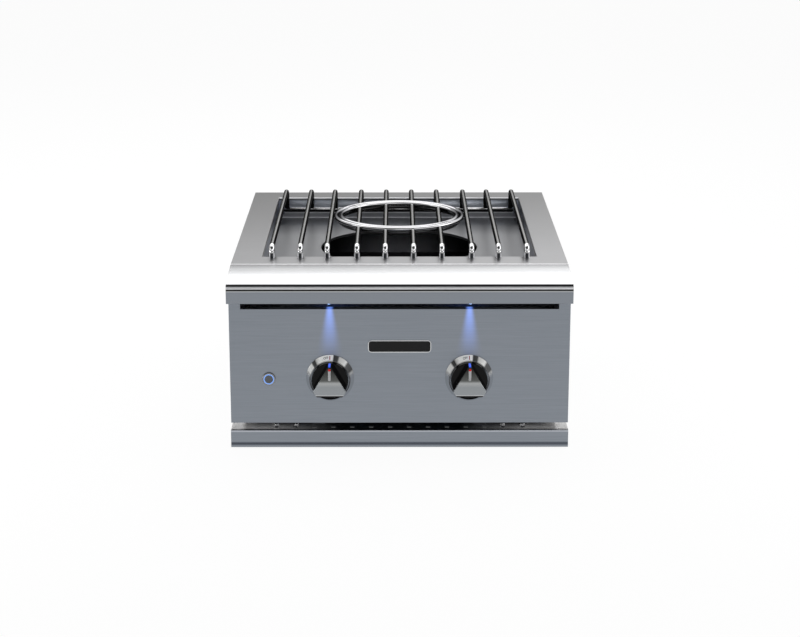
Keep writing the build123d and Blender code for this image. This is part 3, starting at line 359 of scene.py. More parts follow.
panel_steel = brushed_steel(
    "panel_steel", (0.255, 0.277, 0.31), (0.222, 0.244, 0.274), 0.30, 0.36, across, 0.10
)
# Painted light: the blue beam glows on the sheet, narrow under the slot, wide at the bezels, fading
# downwards.
panel_up = along(panel_steel, "Z")
beam_half = ranged(panel_steel, panel_up, bezel_high.z, slot_bottom, beam_foot_half, beam_top_half)
beam_share = figure(panel_steel, "DIVIDE", off_axis(panel_steel), beam_half)
beam_edge = ranged(panel_steel, beam_share, 1.0, 0.0, interpolation_type="SMOOTHERSTEP")
beam_fade = figure(panel_steel, "POWER", ranged(panel_steel, panel_up, beam_foot, slot_bottom), 1.5)
glow(panel_steel, both(panel_steel, beam_edge, beam_fade), painted_beam_blue, 1.0)
coat(panel_steel, "fascia")

# Name place: a blank plate stuck on the middle of the panel, pressed from thin aluminium with a bright rim
# and a dark enamelled field. It carries no words.
plate_centre = Vector((0.0, panel_low.y, 0.1715))
plate_half_wide = 0.052
plate_half_tall = 0.0105
plate_thick = 0.0014
plate_corner = 0.006
rim_wide = 0.0014
field_thick = 0.0008
field_sunk = 0.0004
field_corner = 0.004


def new_piece(name, mesh_maker, material, body):
    """Build a piece in its place, give it its finish, and fix it to the body that carries it."""
    form = bmesh.new()
    mesh_maker(form)
    mesh = bpy.data.meshes.new(name)
    form.to_mesh(mesh)
    form.free()
    piece = bpy.data.objects.new(name, mesh)
    bpy.context.scene.collection.objects.link(piece)
    piece.data.materials.append(material)
    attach(piece, body)
    return piece


def plate_shape(half_wide, half_tall, thick, rear, corner):
    """A rounded upright plate whose back lies on a plane facing the user."""
    def make(form):
        bmesh.ops.create_cube(form, size=1.0)
        bmesh.ops.scale(form, verts=form.verts, vec=(2 * half_wide, thick, 2 * half_tall))
        bmesh.ops.translate(form, verts=form.verts, vec=(plate_centre.x, rear - thick / 2, plate_centre.z))
        corners = [e for e in form.edges if abs((e.verts[0].co - e.verts[1].co).normalized().y) > 0.9]
        bmesh.ops.bevel(
            form, geom=corners, offset=corner, affect="EDGES", segments=8, profile=0.5, material=-1
        )
        front = min(form.faces, key=lambda f: f.calc_center_median().y)
        bmesh.ops.bevel(
            form, geom=list(front.edges), offset=thick * 0.35, affect="EDGES", segments=2, profile=0.5,
            material=-1,
        )
    return make


plate_metal = finish("plate_aluminium", Metallic=1.0)
plate_grain = grain_on(plate_metal, (40.0, 1500.0, 1500.0), 30.0)
feed(
    plate_metal,
    Base_Color=toned(plate_metal, plate_grain["Lines"], (0.0, (0.52, 0.53, 0.54)), (1.0, (0.72, 0.73, 0.74))),
    Roughness=ranged(plate_metal, plate_grain["Patches"], 0.0, 1.0, 0.18, 0.30),
)
rim_shape = plate_shape(plate_half_wide, plate_half_tall, plate_thick, plate_centre.y, plate_corner)
new_piece("plate_rim", rim_shape, plate_metal, "cabinet")


def peel_group():
    """Moulded or enamelled black: a fine orange-peel relief with slow changes of gloss."""
    group, entry, leave = pattern_group(
        "orange_peel", {"Vector": "Vector", "Scale": "Float"}, {"Peel": "Float", "Haze": "Float"}
    )
    peel = node(group, "ShaderNodeTexNoise")
    peel.inputs["Detail"].default_value = 3.0
    haze = node(group, "ShaderNodeTexNoise")
    haze.inputs["Scale"].default_value = 25.0
    join(group, entry["Vector"], peel.inputs["Vector"])
    join(group, entry["Scale"], peel.inputs["Scale"])
    join(group, entry["Vector"], haze.inputs["Vector"])
    join(group, peel.outputs["Fac"], leave["Peel"])
    join(group, haze.outputs["Fac"], leave["Haze"])
    return group


orange_peel = peel_group()


def moulded(name, pale, deep, rough_low, rough_high, scale, relief, **sockets):
    """A moulded, cast, plated or enamelled finish with a fine relief and uneven gloss."""
    material = finish(name, **sockets)
    skin = node(material, "ShaderNodeGroup", node_tree=orange_peel)
    skin.inputs["Scale"].default_value = scale
    join(material, spot_on(material), skin.inputs["Vector"])
    haze = skin.outputs["Haze"]
    patterned(material, haze, haze, skin.outputs["Peel"], pale, deep, rough_low, rough_high, relief)
    return material


plate_enamel = moulded(
    "plate_enamel", (0.008, 0.008, 0.009), (0.005, 0.005, 0.005), 0.30, 0.42, 900.0, 0.05,
    Specular_IOR_Level=0.2,
)
field_shape = plate_shape(
    plate_half_wide - rim_wide, plate_half_tall - rim_wide, field_thick,
    plate_centre.y - plate_thick + field_sunk, field_corner,
)
new_piece("plate_field", field_shape, plate_enamel, "cabinet")

# Nose: a bright, finely brushed sheet rolled over the front edge, with closed ends and a short apron. It
# hooks on the deck's front flange and carries the lamps in its lower hem. Its apron and the start of the roll
# by the deck are painted darker as painted shade, and a band of painted highlight and thin lines of painted
# shade run along the brow, between the roll and the apron.
nose_low, nose_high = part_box("front_nose")
apron_top = nose_low.z + 0.0206
brow_foot = nose_low.z + 0.0245
brow_top = nose_low.z + 0.0285
roll_foot = nose_low.z + 0.03125
nose_steel = brushed_steel(
    "nose_steel", (0.576, 0.58, 0.586), (0.522, 0.526, 0.532), 0.16, 0.19, (9.0, 1100.0, 1100.0), 0.01
)
# Painted shade: the apron is painted darker than the roll.
retone(nose_steel, zone(nose_steel, "Z", apron_top, 0.001, -0.001), (0.225, 0.243, 0.27))
# Painted shade: the roll is painted darker where it starts by the deck.
retone(nose_steel, zone(nose_steel, "Y", nose_high.y, -0.024, -0.002), (0.30, 0.303, 0.308))
# Painted highlight and shade along the brow: a pale matt band from its foot to its top, a dark band below it
# down to the apron, and a near-black line between the brow and the roll.
above_apron = zone(nose_steel, "Z", apron_top, 0.0005, 0.001)
below_brow = zone(nose_steel, "Z", brow_top, 0.0004, -0.0004)
above_brow = zone(nose_steel, "Z", brow_top, -0.0004, 0.0004)
below_foot = zone(nose_steel, "Z", brow_foot, 0.0005, -0.0005)
above_foot = zone(nose_steel, "Z", brow_foot, -0.0005, 0.0005)
under_roll = zone(nose_steel, "Z", roll_foot, 0.00035, -0.00035)
retone(nose_steel, both(nose_steel, below_brow, above_apron), (0.95, 0.96, 0.98))
retone(nose_steel, both(nose_steel, below_foot, above_apron), (0.05, 0.052, 0.05))
retone(nose_steel, both(nose_steel, under_roll, above_brow), (0.012, 0.012, 0.013))
matt(nose_steel, both(nose_steel, below_brow, above_foot), 0.3)
coat(nose_steel, "front_nose")

# Deck and recess: the counter-top sheet with its square opening and down-turned lip, and the tray hung below
# it, both brushed across. Painted highlights run along the folds at the rear of the recess, and painted shade
# and painted light lie on the deck, its lip and the recess floor. The brackets that carry the grate's rear
# rod are cut from the same sheet.
deck_low, deck_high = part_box("top_deck")
recess_low, recess_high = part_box("recess_pan")
opening_half = 0.230
recess_wall = recess_high.y - 0.011
recess_floor = deck_high.z - 0.0396
fold_highlight = (0.80, 0.81, 0.84)
fold_highlight_metal = 0.12
deck_steel = brushed_steel(
    "deck_steel", (0.46, 0.46, 0.465), (0.425, 0.425, 0.43), 0.27, 0.31, across, 0.004
)
# Painted shade: the deck grows darker towards its rear.
deck_rear_shade = ranged(deck_steel, along(deck_steel, "Y"), deck_low.y + 0.08, deck_high.y)
retone(deck_steel, deck_rear_shade, (0.285, 0.284, 0.282))
# Painted highlight: a pale line along the deck's front edge.
retone(deck_steel, zone(deck_steel, "Y", deck_low.y, 0.0040, 0.0034), (0.95, 0.95, 0.96))
deck_lip = zone(deck_steel, "Z", deck_high.z, -0.003, -0.006)
rear_lip = zone(deck_steel, "Y", recess_wall, -0.0060, -0.0040)
rod_shade = zone(deck_steel, "Z", deck_high.z, -0.0258, -0.0264)
# Painted shade: the lip round the opening is painted a dark blue-grey.
retone(deck_steel, deck_lip, (0.22, 0.24, 0.30))
# Painted light: the rear lip, facing the front, is painted pale blue-white.
retone(deck_steel, both(deck_steel, deck_lip, rear_lip), (0.86, 0.91, 1.0))
# Painted shadow: a near-black band on the rear lip under the grate's rear rod.
retone(deck_steel, both(deck_steel, rod_shade, rear_lip), (0.03, 0.03, 0.032))
# Painted highlights: pale matt lines along the top and foot of the rear lip, across the opening.
lip_top = zone(deck_steel, "Z", deck_high.z, -0.0022, -0.0016)
lip_foot = zone(deck_steel, "Z", deck_high.z, -0.0276, -0.0282)
lip_face = zone(deck_steel, "Y", recess_wall, 0.0010, -0.0005)
lip_left = zone(deck_steel, "X", -opening_half, -0.0005, 0.0005)
lip_right = zone(deck_steel, "X", opening_half, 0.0005, -0.0005)
lip_edges = either(deck_steel, lip_top, lip_foot)
lip_lines = both(deck_steel, lip_left, lip_right, rear_lip, lip_face, lip_edges)
retone(deck_steel, lip_lines, fold_highlight)
matt(deck_steel, lip_lines, fold_highlight_metal)
coat(deck_steel, "top_deck", "left_grate_rest", "right_grate_rest")
tray_steel = brushed_steel(
    "tray_steel", (0.29, 0.293, 0.302), (0.264, 0.267, 0.275), 0.36, 0.42, across, 0.006
)
# Painted shade: the recess floor darkens towards its rear wall.
retone(tray_steel, zone(tray_steel, "Y", recess_wall, -0.15, -0.06), (0.145, 0.148, 0.157))
# Painted light: the recess's rear wall is painted paler.
tray_rear = zone(tray_steel, "Y", recess_wall, -0.0025, -0.0005)
retone(tray_steel, tray_rear, (0.50, 0.515, 0.545))
# Painted highlight: a pale matt line along the fold at the foot of the recess's rear wall.
tray_fold = both(tray_steel, tray_rear, zone(tray_steel, "Z", recess_floor, 0.0021, 0.0015))
retone(tray_steel, tray_fold, fold_highlight)
matt(tray_steel, tray_fold, fold_highlight_metal)
coat(tray_steel, "recess_pan")

# Burner well: a tub with two cast burners on a pressed cradle, fed from below. Its steel is coloured near
# black and dull, and the middle of its rear wall is painted pale, as painted light that falls in through the
# opening.
tub_rear_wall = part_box("burner_box")[1].y
tub_dark_half = 0.118
tub_painted_light_half = 0.02
tub_black = moulded(
    "tub_black", (0.020, 0.021, 0.024), (0.008, 0.008, 0.009), 0.42, 0.58, 400.0, 0.15, Metallic=0.2
)
# Painted light: the middle of the rear wall is painted pale, fading to near black at its sides.
tub_rear = zone(tub_black, "Y", tub_rear_wall, -0.012, -0.006)
tub_left = zone(tub_black, "X", 0.0, -tub_dark_half, -tub_painted_light_half)
tub_right = zone(tub_black, "X", 0.0, tub_dark_half, tub_painted_light_half)
retone(tub_black, both(tub_black, tub_rear, tub_left, tub_right), (0.80, 0.82, 0.90))
coat(tub_black, "burner_box")
cast_iron = moulded(
    "cast_iron", (0.050, 0.048, 0.046), (0.022, 0.021, 0.020), 0.62, 0.8, 1600.0, 0.6, Metallic=0.3
)
coat(cast_iron, "outer_burner_ring", "inner_burner")
post_ceramic = moulded("post_ceramic", (0.80, 0.78, 0.73), (0.70, 0.67, 0.60), 0.18, 0.3, 800.0, 0.05)
coat(post_ceramic, "igniter")

# Gas train: brass valves, jets and inlet, turned and milled, and mill-finish aluminium tubes with their air
# shutters. The stems, washers and springs are bright steel, and the cases and grommet are black mouldings.
turned_brass = moulded(
    "turned_brass", (0.74, 0.55, 0.24), (0.58, 0.41, 0.16), 0.22, 0.36, 1800.0, 0.12, Metallic=1.0
)
coat(turned_brass, "left_valve_body", "right_valve_body", "left_orifice", "right_orifice", "gas_inlet")
coat(turned_brass, "button_nut")
mill_aluminium = moulded(
    "mill_aluminium", (0.62, 0.62, 0.63), (0.50, 0.50, 0.51), 0.32, 0.45, 700.0, 0.10, Metallic=1.0
)
coat(mill_aluminium, "left_mixer_tube", "right_mixer_tube", "left_air_shutter", "right_air_shutter")
coat(mill_aluminium, "gas_manifold", "supply_pipe")
bright_wire = moulded(
    "bright_wire", (0.60, 0.60, 0.61), (0.50, 0.50, 0.51), 0.16, 0.26, 2000.0, 0.05, Metallic=1.0
)
for side in ("left", "right"):
    coat(bright_wire, f"{side}_valve_stem", f"{side}_thrust_washer", f"{side}_return_spring")


def smooth_copy(name, material, body, turn_sharp):
    """A merged copy of a CAD node with its round surfaces shaded smooth, in place of the node."""
    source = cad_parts[name]
    mesh = source.data.copy()
    form = bmesh.new()
    form.from_mesh(mesh)
    bmesh.ops.remove_doubles(form, verts=form.verts, dist=1e-6)
    form.to_mesh(mesh)
    form.free()
    mesh.shade_smooth()
    mesh.set_sharp_from_angle(angle=turn_sharp)
    mesh.materials.clear()
    mesh.materials.append(material)
    piece = bpy.data.objects.new(f"{name}_polished", mesh)
    bpy.context.scene.collection.objects.link(piece)
    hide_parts(name)
    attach(piece, body)
    return piece


coil_corner = math.radians(50)
for side in ("left", "right"):
    coil = smooth_copy(f"{side}_return_spring", bright_wire, f"{side}_push", coil_corner)
    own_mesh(coil)
black_case = moulded("black_case", (0.028, 0.028, 0.029), (0.016, 0.016, 0.017), 0.42, 0.56, 1500.0, 0.2)
coat(black_case, "ignition_module", "switch_body", "light_bar")
grommet_rubber = moulded(
    "grommet_rubber", (0.022, 0.022, 0.022), (0.013, 0.013, 0.013), 0.62, 0.78, 1500.0, 0.2
)
coat(grommet_rubber, "lead_grommet")

# Bezels: turned cone rings in bright chrome round the knobs. The upper half of the cone carries painted
# reflections, in bright and dark sectors that glow a little, with an OFF mark and a red tick printed at the
# top.
# Painted shade darkens the cone's inner edge beside the knob and its lower front under the knob.
bezel_chrome = moulded(
    "bezel_chrome", (0.74, 0.745, 0.75), (0.69, 0.695, 0.70), 0.06, 0.12, 900.0, 0.01, Metallic=1.0
)
# Painted reflection: bright and dark sectors round the upper half of the cone, matt and glowing a little.
sector_edge_tone = (0.30, 0.31, 0.33)
sector_reflection_levels = (
    (-74, 0.34), (-68, 0.62), (-52, 0.66), (-48, 0.05), (-40, 0.04), (-36, 0.50), (-27, 0.85), (7, 0.88),
    (10, 0.05), (21, 0.07), (25, 0.62), (44, 0.80), (49, 0.10), (67, 0.06), (72, 0.32),
)
sector_reflection_stops = [(degrees / 180 + 0.5, (level, level, level * 0.97)) for degrees, level in sector_reflection_levels]
bezel_x = along(bezel_chrome, "X")
bezel_axis = figure(bezel_chrome, "MULTIPLY", figure(bezel_chrome, "SIGN", bezel_x), knob_axis_x)
bezel_out = figure(bezel_chrome, "SUBTRACT", bezel_x, bezel_axis)
bezel_up = figure(bezel_chrome, "SUBTRACT", along(bezel_chrome, "Z"), knob_axis_z)
bezel_turn = figure(bezel_chrome, "ARCTAN2", bezel_out, bezel_up)
sector_angle = ranged(bezel_chrome, bezel_turn, -math.pi / 2, math.pi / 2)
sector_reflection_tone = toned(bezel_chrome, sector_angle, (0.0, sector_edge_tone), *sector_reflection_stops, (1.0, sector_edge_tone))
sector_span = figure(bezel_chrome, "ABSOLUTE", bezel_turn)
sector_cover = ranged(bezel_chrome, sector_span, math.radians(82), math.radians(70))
sector_reflection_mask = both(bezel_chrome, sector_cover, zone(bezel_chrome, "Y", panel_low.y, -0.0014, -0.0022))
retone(bezel_chrome, sector_reflection_mask, sector_reflection_tone)
matt(bezel_chrome, sector_reflection_mask, 0.15)
glow(bezel_chrome, sector_reflection_mask, sector_reflection_tone, 0.34)
# Painted shade: a dark ring along the cone's inner edge beside the knob.
retone(bezel_chrome, zone(bezel_chrome, "Y", bezel_low.y, 0.0012, 0.0006), (0.10, 0.10, 0.105))
# Painted shade: the lower front of the cone under the knob is painted near black.
bezel_foot = zone(bezel_chrome, "Z", knob_axis_z, -0.026, -0.029)
bezel_face = zone(bezel_chrome, "Y", bezel_low.y, 0.0050, 0.0030)
retone(bezel_chrome, both(bezel_chrome, bezel_foot, bezel_face), (0.004, 0.004, 0.0045))
coat(bezel_chrome, "left_bezel", "right_bezel")
mark_ink = moulded("mark_ink", (0.045, 0.045, 0.048), (0.030, 0.030, 0.032), 0.4, 0.5, 1500.0, 0.05)
tick_red = moulded("tick_red", (0.62, 0.012, 0.012), (0.52, 0.008, 0.008), 0.45, 0.55, 1500.0, 0.05)
cone_outer = (bezel_high.x - bezel_low.x) / 2
cone_rim = 0.002
cone_inner = 0.0332
cone_front = panel_low.y - (bezel_high.y - bezel_low.y)
cone_back = panel_low.y - cone_rim
cone_mid_radius = (cone_outer + cone_inner) / 2
cone_mid_y = (cone_front + cone_back) / 2
cone_rise = Vector((0, cone_back - cone_front, cone_outer - cone_inner)).normalized()
cone_out = Vector((1, 0, 0)).cross(cone_rise)
mark_height = 0.0046
mark_thick = 0.0001
mark_stretch = 1.9
mark_turn = math.radians(-10.5)
tick_size = (0.0014, 0.0095, 0.0004)
tick_round = 0.00008


def on_cone(axis_x, turn):
    """The matrix that takes a flat mark, upright and facing +Z, on to the cone at a turn from its top."""
    sit = Matrix((Vector((1, 0, 0)), cone_rise, cone_out)).transposed().to_4x4()
    lift = Matrix.Translation(Vector((0, cone_mid_y, cone_mid_radius)))
    swing = Matrix.Rotation(turn, 4, "Y")
    return Matrix.Translation(Vector((axis_x, 0, knob_axis_z))) @ swing @ lift @ sit


for side, axis_x in (("left", -knob_axis_x), ("right", knob_axis_x)):
    letters = bpy.data.curves.new(f"{side}_off_letters", "FONT")
    letters.body = "OFF"
    letters.size = mark_height
    letters.align_x = "CENTER"
    letters.align_y = "CENTER"
    letters.extrude = mark_thick
    holder = bpy.data.objects.new(f"{side}_off_holder", letters)
    bpy.context.scene.collection.objects.link(holder)
    bpy.context.view_layer.update()
    mark_mesh = bpy.data.meshes.new_from_object(holder.evaluated_get(bpy.context.evaluated_depsgraph_get()))
    bpy.data.objects.remove(holder)
    mark_mesh.transform(on_cone(axis_x, mark_turn) @ Matrix.Diagonal((1.0, mark_stretch, 1.0, 1.0)))
    mark_mesh.materials.clear()
    mark_mesh.materials.append(mark_ink)
    off_mark = bpy.data.objects.new(f"{side}_off_mark", mark_mesh)
    bpy.context.scene.collection.objects.link(off_mark)
    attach(off_mark, "cabinet")

    def tick_shape(form):
        bmesh.ops.create_cube(form, size=1.0)
        bmesh.ops.scale(form, verts=form.verts, vec=tick_size)
        bmesh.ops.bevel(
            form, geom=list(form.edges), offset=tick_round, affect="EDGES", segments=2, profile=0.5,
            material=-1,
        )
        bmesh.ops.transform(form, verts=form.verts, matrix=on_cone(axis_x, 0.0))

    new_piece(f"{side}_off_tick", tick_shape, tick_red, "cabinet")

# Knobs: polished castings pushed on the valve stems. The grip's face is satin metal, black at its foot, with
# a painted highlight line above that and painted reflection that darkens it towards its point; its flanks and
# skirt are gloss black. A light inlay and a red dot point to the setting, and a blue bar of painted
# reflection glows along the crest.
knob_black = (0.003, 0.003, 0.0035)
# The face's stops: black at its foot, a painted highlight line, then painted reflection that darkens towards
# the point.
face_tone_and_reflection_stops = (
    (0.168, knob_black), (0.18, (0.50, 0.51, 0.52)), (0.205, (0.28, 0.295, 0.31)),
    (0.42, (0.27, 0.285, 0.295)), (0.53, (0.36, 0.37, 0.37)), (0.60, (0.10, 0.104, 0.10)),
    (0.92, (0.025, 0.026, 0.024)),
)
crest_reflection_blue = (0.04, 0.13, 0.95)
knob_metal = finish("knob_metal", Specular_IOR_Level=0.12)
face_mask = zone(knob_metal, "Y", knob_low.y, 0.0018, 0.0014)
face_height = ranged(knob_metal, along(knob_metal, "Z"), knob_low.z, knob_high.z)
feed(
    knob_metal,
    Base_Color=blended(knob_metal, face_mask, knob_black, toned(knob_metal, face_height, *face_tone_and_reflection_stops)),
    Metallic=face_mask,
    Roughness=ranged(knob_metal, face_mask, 0.0, 1.0, 0.06, 0.22),
)
# Painted reflection: a thin blue bar glows along the crest, as the beam's glint.
crest_top = zone(knob_metal, "Z", knob_high.z, -0.0009, -0.0004)
crest_front = zone(knob_metal, "Y", knob_low.y, 0.022, 0.019)
crest_width = ranged(knob_metal, off_axis(knob_metal), 0.0020, 0.0014)
glow(knob_metal, both(knob_metal, crest_width, crest_top, crest_front), crest_reflection_blue, 1.0)
coat(knob_metal, "left_knob", "right_knob")
pointer_inlay = moulded("pointer_inlay", (0.66, 0.665, 0.67), (0.58, 0.585, 0.59), 0.3, 0.4, 1500.0, 0.05)
coat(pointer_inlay, "left_knob_pointer", "right_knob_pointer")
dot_red = moulded("dot_red", (0.85, 0.010, 0.010), (0.75, 0.007, 0.007), 0.35, 0.45, 1500.0, 0.04)
pointer_low, pointer_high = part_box("right_knob_pointer")
dot_radius = 0.0022
dot_flatness = 0.35
for side, axis_x in (("left", -knob_axis_x), ("right", knob_axis_x)):
    def dot_shape(form):
        bmesh.ops.create_uvsphere(form, u_segments=24, v_segments=12, radius=dot_radius)
        bmesh.ops.scale(form, verts=form.verts, vec=(1.0, dot_flatness, 1.0))
        bmesh.ops.translate(form, verts=form.verts, vec=(axis_x, pointer_low.y, pointer_high.z - dot_radius))

    dot = new_piece(f"{side}_pointer_dot", dot_shape, dot_red, f"{side}_knob_turn")
    dot.data.shade_smooth()

# Push button: a chrome head with a lit blue ring let into it and a satin grey cap in the middle, screwed
# through the panel with a nut behind.
ring_glow = moulded(
    "ring_glow", (0.30, 0.48, 0.95), (0.26, 0.44, 0.90), 0.25, 0.35, 1500.0, 0.03,
    Emission_Color=(0.20, 0.42, 1.0, 1), Emission_Strength=0.45,
)
coat(ring_glow, "button_light_ring")
head_chrome = moulded(
    "head_chrome", (0.25, 0.25, 0.255), (0.20, 0.20, 0.205), 0.12, 0.2, 900.0, 0.02, Metallic=1.0
)
coat(head_chrome, "button_bezel")
cap_satin = moulded("cap_satin", (0.13, 0.135, 0.145), (0.10, 0.105, 0.112), 0.3, 0.4, 1500.0, 0.06)
coat(cap_satin, "button_cap")

# Knob lamps: clear domed lenses over blue diodes. They are pushed up through the nose's hem above each knob
# and clip to the light bar behind the apron.
lamp_lens = moulded(
    "lamp_lens", (0.62, 0.74, 1.0), (0.56, 0.68, 0.96), 0.08, 0.14, 1200.0, 0.03,
    Emission_Color=(0.35, 0.55, 1.0, 1), Emission_Strength=3.0,
)
coat(lamp_lens, "left_lamp", "right_lamp")

# Grate: polished stainless rods bent down at both ends and welded to a rear cross rod. The runs are painted
# darker than the bends and legs, with near-black flanks of painted shade, so that they shine only along their
# tops; the front legs carry painted shade on their fronts and painted highlights at their sides, and the rear
# cross rod keeps a pale run as painted light. The two bright wok rings are let into the cut rods, over a seat
# ring painted dark as the shade under them.
ring_chrome = moulded(
    "ring_chrome", (0.72, 0.72, 0.73), (0.66, 0.66, 0.67), 0.03, 0.06, 1200.0, 0.0, Metallic=1.0,
    Specular_Tint=(0.25, 0.25, 0.26, 1),
)
rod_radius = 0.0045
rod_bend = 0.009
rod_pairs = 5
third_pair_shift = 0.00235
rods_low, rods_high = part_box("grate_rods")
rod_level = rods_high.z - rod_radius
rod_pitch = (rods_high.x - rod_radius) / (rod_pairs - 0.5)
rod_lines = [(pair + 0.5) * rod_pitch for pair in range(rod_pairs)]
rod_lines[2] += third_pair_shift
round_enough = 0.75


def wire_normals(piece, middle_of):
    """Give a copy of round wire its true normals, so that the long facets of its mesh don't show."""
    mesh = piece.data
    normals = [None] * len(mesh.loops)
    for face in mesh.polygons:
        for corner in face.loop_indices:
            spot = mesh.vertices[mesh.loops[corner].vertex_index].co
            outward = (spot - middle_of(spot)).normalized()
            normals[corner] = outward if outward.dot(face.normal) > round_enough else face.normal
    mesh.normals_split_custom_set(normals)


def rod_middle(spot):
    """The nearest point on the middle line of the rods: two legs, two bends and the run between them."""
    line = min(rod_lines, key=lambda offset: abs(abs(spot.x) - offset))
    front_turn = rods_low.y + rod_radius + rod_bend
    rear_turn = rods_high.y - rod_radius - rod_bend
    hub = Vector((math.copysign(line, spot.x), min(max(spot.y, front_turn), rear_turn), rod_level - rod_bend))
    hub.z = min(hub.z, spot.z)
    return hub + Vector((0, spot.y - hub.y, spot.z - hub.z)).normalized() * rod_bend


def ring_middle(name):
    """A function that gives the nearest point on the middle line of a ring."""
    ring_low, ring_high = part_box(name)
    centre = (ring_low + ring_high) / 2
    reach = (ring_high.x - ring_low.x) / 2 - (ring_high.z - ring_low.z) / 2
    return lambda spot: centre + Vector((spot.x - centre.x, spot.y - centre.y, 0)).normalized() * reach


def rod_finish(name, run_colour, lit, dark):
    """Polished rod steel with painted light and shade. Flanks are painted dark as their facing falls from lit
    to dark on the upright axis, leg fronts get painted shade and leg sides painted highlights.
    """
    material = moulded(
        name, (0.88, 0.88, 0.885), (0.82, 0.82, 0.825), 0.09, 0.13, 1200.0, 0.0, Specular_IOR_Level=0.0
    )
    run = zone(material, "Y", recess_low.y, 0.010, 0.016)
    # Painted shade: the runs take their own colour, with near-black flanks.
    run_flank_shade = both(material, run, zone(material, "Z", 0.0, lit, dark, "Normal"))
    retone(material, run, run_colour)
    retone(material, run_flank_shade, (0.008, 0.008, 0.0085))
    leg_reach = zone(material, "Y", recess_low.y, 0.011, 0.010)
    leg = both(material, leg_reach, zone(material, "Z", rod_level - rod_bend, 0.0, -0.002))
    # Painted shade on the front legs' fronts and painted highlights at their sides.
    leg_front_shade = both(material, leg, zone(material, "Y", 0.0, -0.78, -0.88, "Normal"))
    leg_side_highlight = both(material, leg, zone(material, "Y", 0.0, -0.80, -0.72, "Normal"))
    retone(material, leg_front_shade, (0.07, 0.073, 0.08))
    retone(material, leg_side_highlight, (0.92, 0.93, 0.96))
    matt(material, either(material, run_flank_shade, leg_side_highlight), 0.06)
    return material


# The rods' runs are painted darker than their bends and legs; the rear cross rod keeps a pale run, as painted
# light.
rod_steel = rod_finish("rod_steel", (0.54, 0.535, 0.52), 0.965, 0.88)
cross_steel = rod_finish("cross_steel", (0.90, 0.90, 0.905), 0.30, 0.05)
# Painted shade: the seat ring is coloured dark, as the shade under the outer ring.
seat_painted_shade = moulded(
    "seat_painted_shade", (0.10, 0.10, 0.103), (0.08, 0.08, 0.082), 0.09, 0.13, 1200.0, 0.0, Metallic=1.0
)
rod_corner = math.radians(35)
smooth_copy("grate_cross_rod", cross_steel, "main_grate", rod_corner)
for name, body in (("grate_rods", "main_grate"), ("centre_rods", "centre_grate")):
    wire_normals(smooth_copy(name, rod_steel, body, rod_corner), rod_middle)
seat_ring = smooth_copy("grate_seat_ring", seat_painted_shade, "main_grate", rod_corner)
wire_normals(seat_ring, ring_middle("grate_seat_ring"))
for name, body in (("grate_outer_ring", "main_grate"), ("centre_ring", "centre_grate")):
    wire_normals(smooth_copy(name, ring_chrome, body, rod_corner), ring_middle(name))

# Screws: bright zinc-plated pan-head screws, cold headed. They hold the chassis down on the tray's ledge and
# the rear panel along its edges.
screw_bright = moulded(
    "screw_bright", (0.88, 0.88, 0.885), (0.80, 0.80, 0.805), 0.24, 0.32, 1500.0, 0.04, Metallic=1.0
)
coat(screw_bright, "pan_screws", "rear_panel_screws")

# Floor: a wide pale studio floor that runs out to white. It keeps a little of the unit's shadow, and the
# part of it that the unit stands on stays dark.
floor_half = 40.0
floor_drop = 0.0005
open_share = 0.93
hidden_share = 0.05
floor_form = bmesh.new()
bmesh.ops.create_grid(floor_form, x_segments=1, y_segments=1, size=floor_half)
floor_mesh = bpy.data.meshes.new("floor")
floor_form.to_mesh(floor_mesh)
floor_form.free()
floor = bpy.data.objects.new("floor", floor_mesh)
bpy.context.scene.collection.objects.link(floor)
floor.location.z = -floor_drop
floor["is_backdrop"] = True
floor_white = bpy.data.materials.new("floor_white")
floor_white.use_nodes = True
floor_white.node_tree.nodes.clear()
floor_out = node(floor_white, "ShaderNodeOutputMaterial")
floor_matt = node(floor_white, "ShaderNodeBsdfDiffuse")
floor_matt.inputs["Color"].default_value = (0.86, 0.86, 0.86, 1)
floor_light = node(floor_white, "ShaderNodeEmission")
floor_light.inputs["Strength"].default_value = 1.02
unit_low, unit_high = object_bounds()
under_unit = both(
    floor_white,
    zone(floor_white, "X", unit_low.x, -0.004, 0.012),
    zone(floor_white, "X", unit_high.x, 0.004, -0.012),
    zone(floor_white, "Y", tray_low.y, -0.002, 0.012),
    zone(floor_white, "Y", tray_high.y, 0.002, -0.012),
)
floor_shown = ranged(floor_white, under_unit, 0.0, 1.0, open_share, hidden_share)
floor_rays = node(floor_white, "ShaderNodeLightPath").outputs
seen_or_mirrored = either(floor_white, floor_rays["Is Camera Ray"], floor_rays["Is Glossy Ray"])
seen_at_all = either(floor_white, seen_or_mirrored, floor_rays["Is Transmission Ray"])
floor_mix = node(floor_white, "ShaderNodeMixShader")
join(floor_white, both(floor_white, seen_at_all, floor_shown), floor_mix.inputs["Fac"])
join(floor_white, floor_matt.outputs["BSDF"], floor_mix.inputs[1])
join(floor_white, floor_light.outputs["Emission"], floor_mix.inputs[2])
join(floor_white, floor_mix.outputs["Shader"], floor_out.inputs["Surface"])
floor.data.materials.append(floor_white)

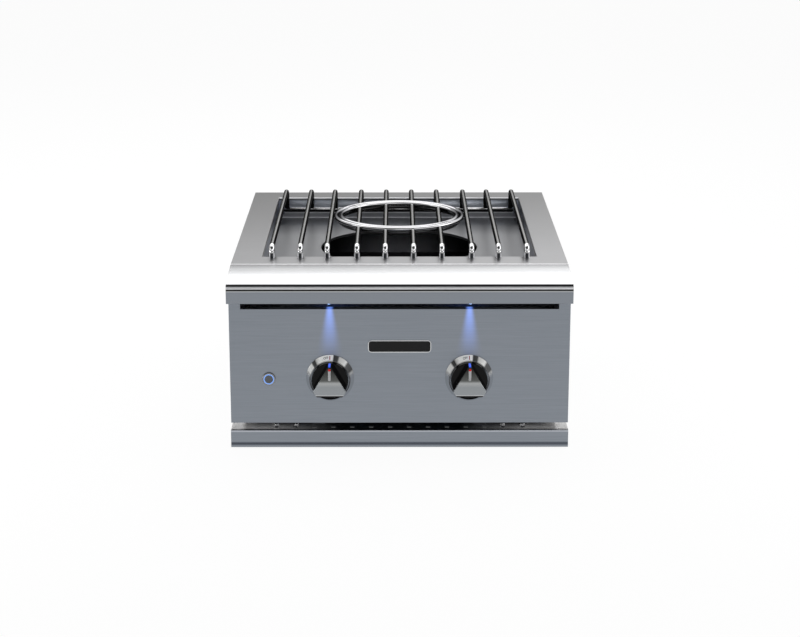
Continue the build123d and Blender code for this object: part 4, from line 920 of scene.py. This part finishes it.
# Studio: a pale band round the room that darkens towards the ceiling and leans lighter to the right, with
# soft boxes overhead and at the sides, and two low strips beside the tray, which the steel and chrome mirror.
band_levels = ((0.12, 0.035), (0.18, 0.30), (0.26, 0.84), (0.40, 0.95), (0.54, 0.90), (0.61, 0.05))
band_stops = [(height, (level, level, level * 1.01)) for height, level in band_levels]
studio_ground = (0.012, 0.012, 0.013)
studio_ceiling = (0.05, 0.05, 0.052)
studio = bpy.data.worlds.new("studio")
studio.use_nodes = True
studio_back = studio.node_tree.nodes["Background"]
studio_up = along(studio, "Z", "Generated")
studio_side = along(studio, "X", "Generated")
studio_band = toned(studio, studio_up, (0.0, studio_ground), *band_stops, (1.0, studio_ceiling))
join(studio, studio_band, studio_back.inputs["Color"])
join(studio, ranged(studio, studio_side, -0.15, 0.15, 0.70, 1.30), studio_back.inputs["Strength"])
bpy.context.scene.world = studio


def soft_box(name, centre, wide, deep, facing, radiance):
    """A rectangular soft box of even brightness that faces a point."""
    light = bpy.data.lights.new(name, "AREA")
    light.shape = "RECTANGLE"
    light.size = wide
    light.size_y = deep
    light.energy = math.pi * wide * deep * radiance
    holder = bpy.data.objects.new(name, light)
    holder.location = centre
    holder.rotation_euler = (Vector(facing) - Vector(centre)).to_track_quat("-Z", "Y").to_euler()
    bpy.context.scene.collection.objects.link(holder)


soft_box("overhead_box", (-0.3, 1.25, 1.8), 2.6, 3.1, (-0.3, 1.25, 0.0), 1.6)
soft_box("right_box", (2.1, 0.2, 1.6), 1.2, 1.6, (0.0, 0.0, 0.3), 1.2)
soft_box("left_box", (-2.6, -0.4, 1.0), 1.0, 1.0, (0.0, -0.2, 0.2), 1.0)
soft_box("left_strip", (-1.2, -0.45, 0.18), 0.9, 0.3, (-0.2, -0.29, 0.03), 3.5)
soft_box("right_strip", (1.2, -0.45, 0.18), 0.9, 0.3, (0.2, -0.29, 0.03), 3.5)

# Camera: an 85 mm view from a little over three metres in front of the unit, tilted down on to it from above
# and turned a touch to the right.
camera_tilt = math.radians(90 - 15.567)
camera_turn = math.radians(-0.172)
camera_data = bpy.data.cameras.new("camera")
camera_data.lens = 85.03
camera_data.sensor_width = 36.0
camera_data.sensor_fit = "HORIZONTAL"
camera = bpy.data.objects.new("camera", camera_data)
camera.location = (-0.0083, -3.2755, 1.0473)
camera.rotation_euler = (camera_tilt, 0.0, camera_turn)
bpy.context.scene.collection.objects.link(camera)
bpy.context.scene.camera = camera
bpy.context.scene.view_settings.view_transform = "Standard"
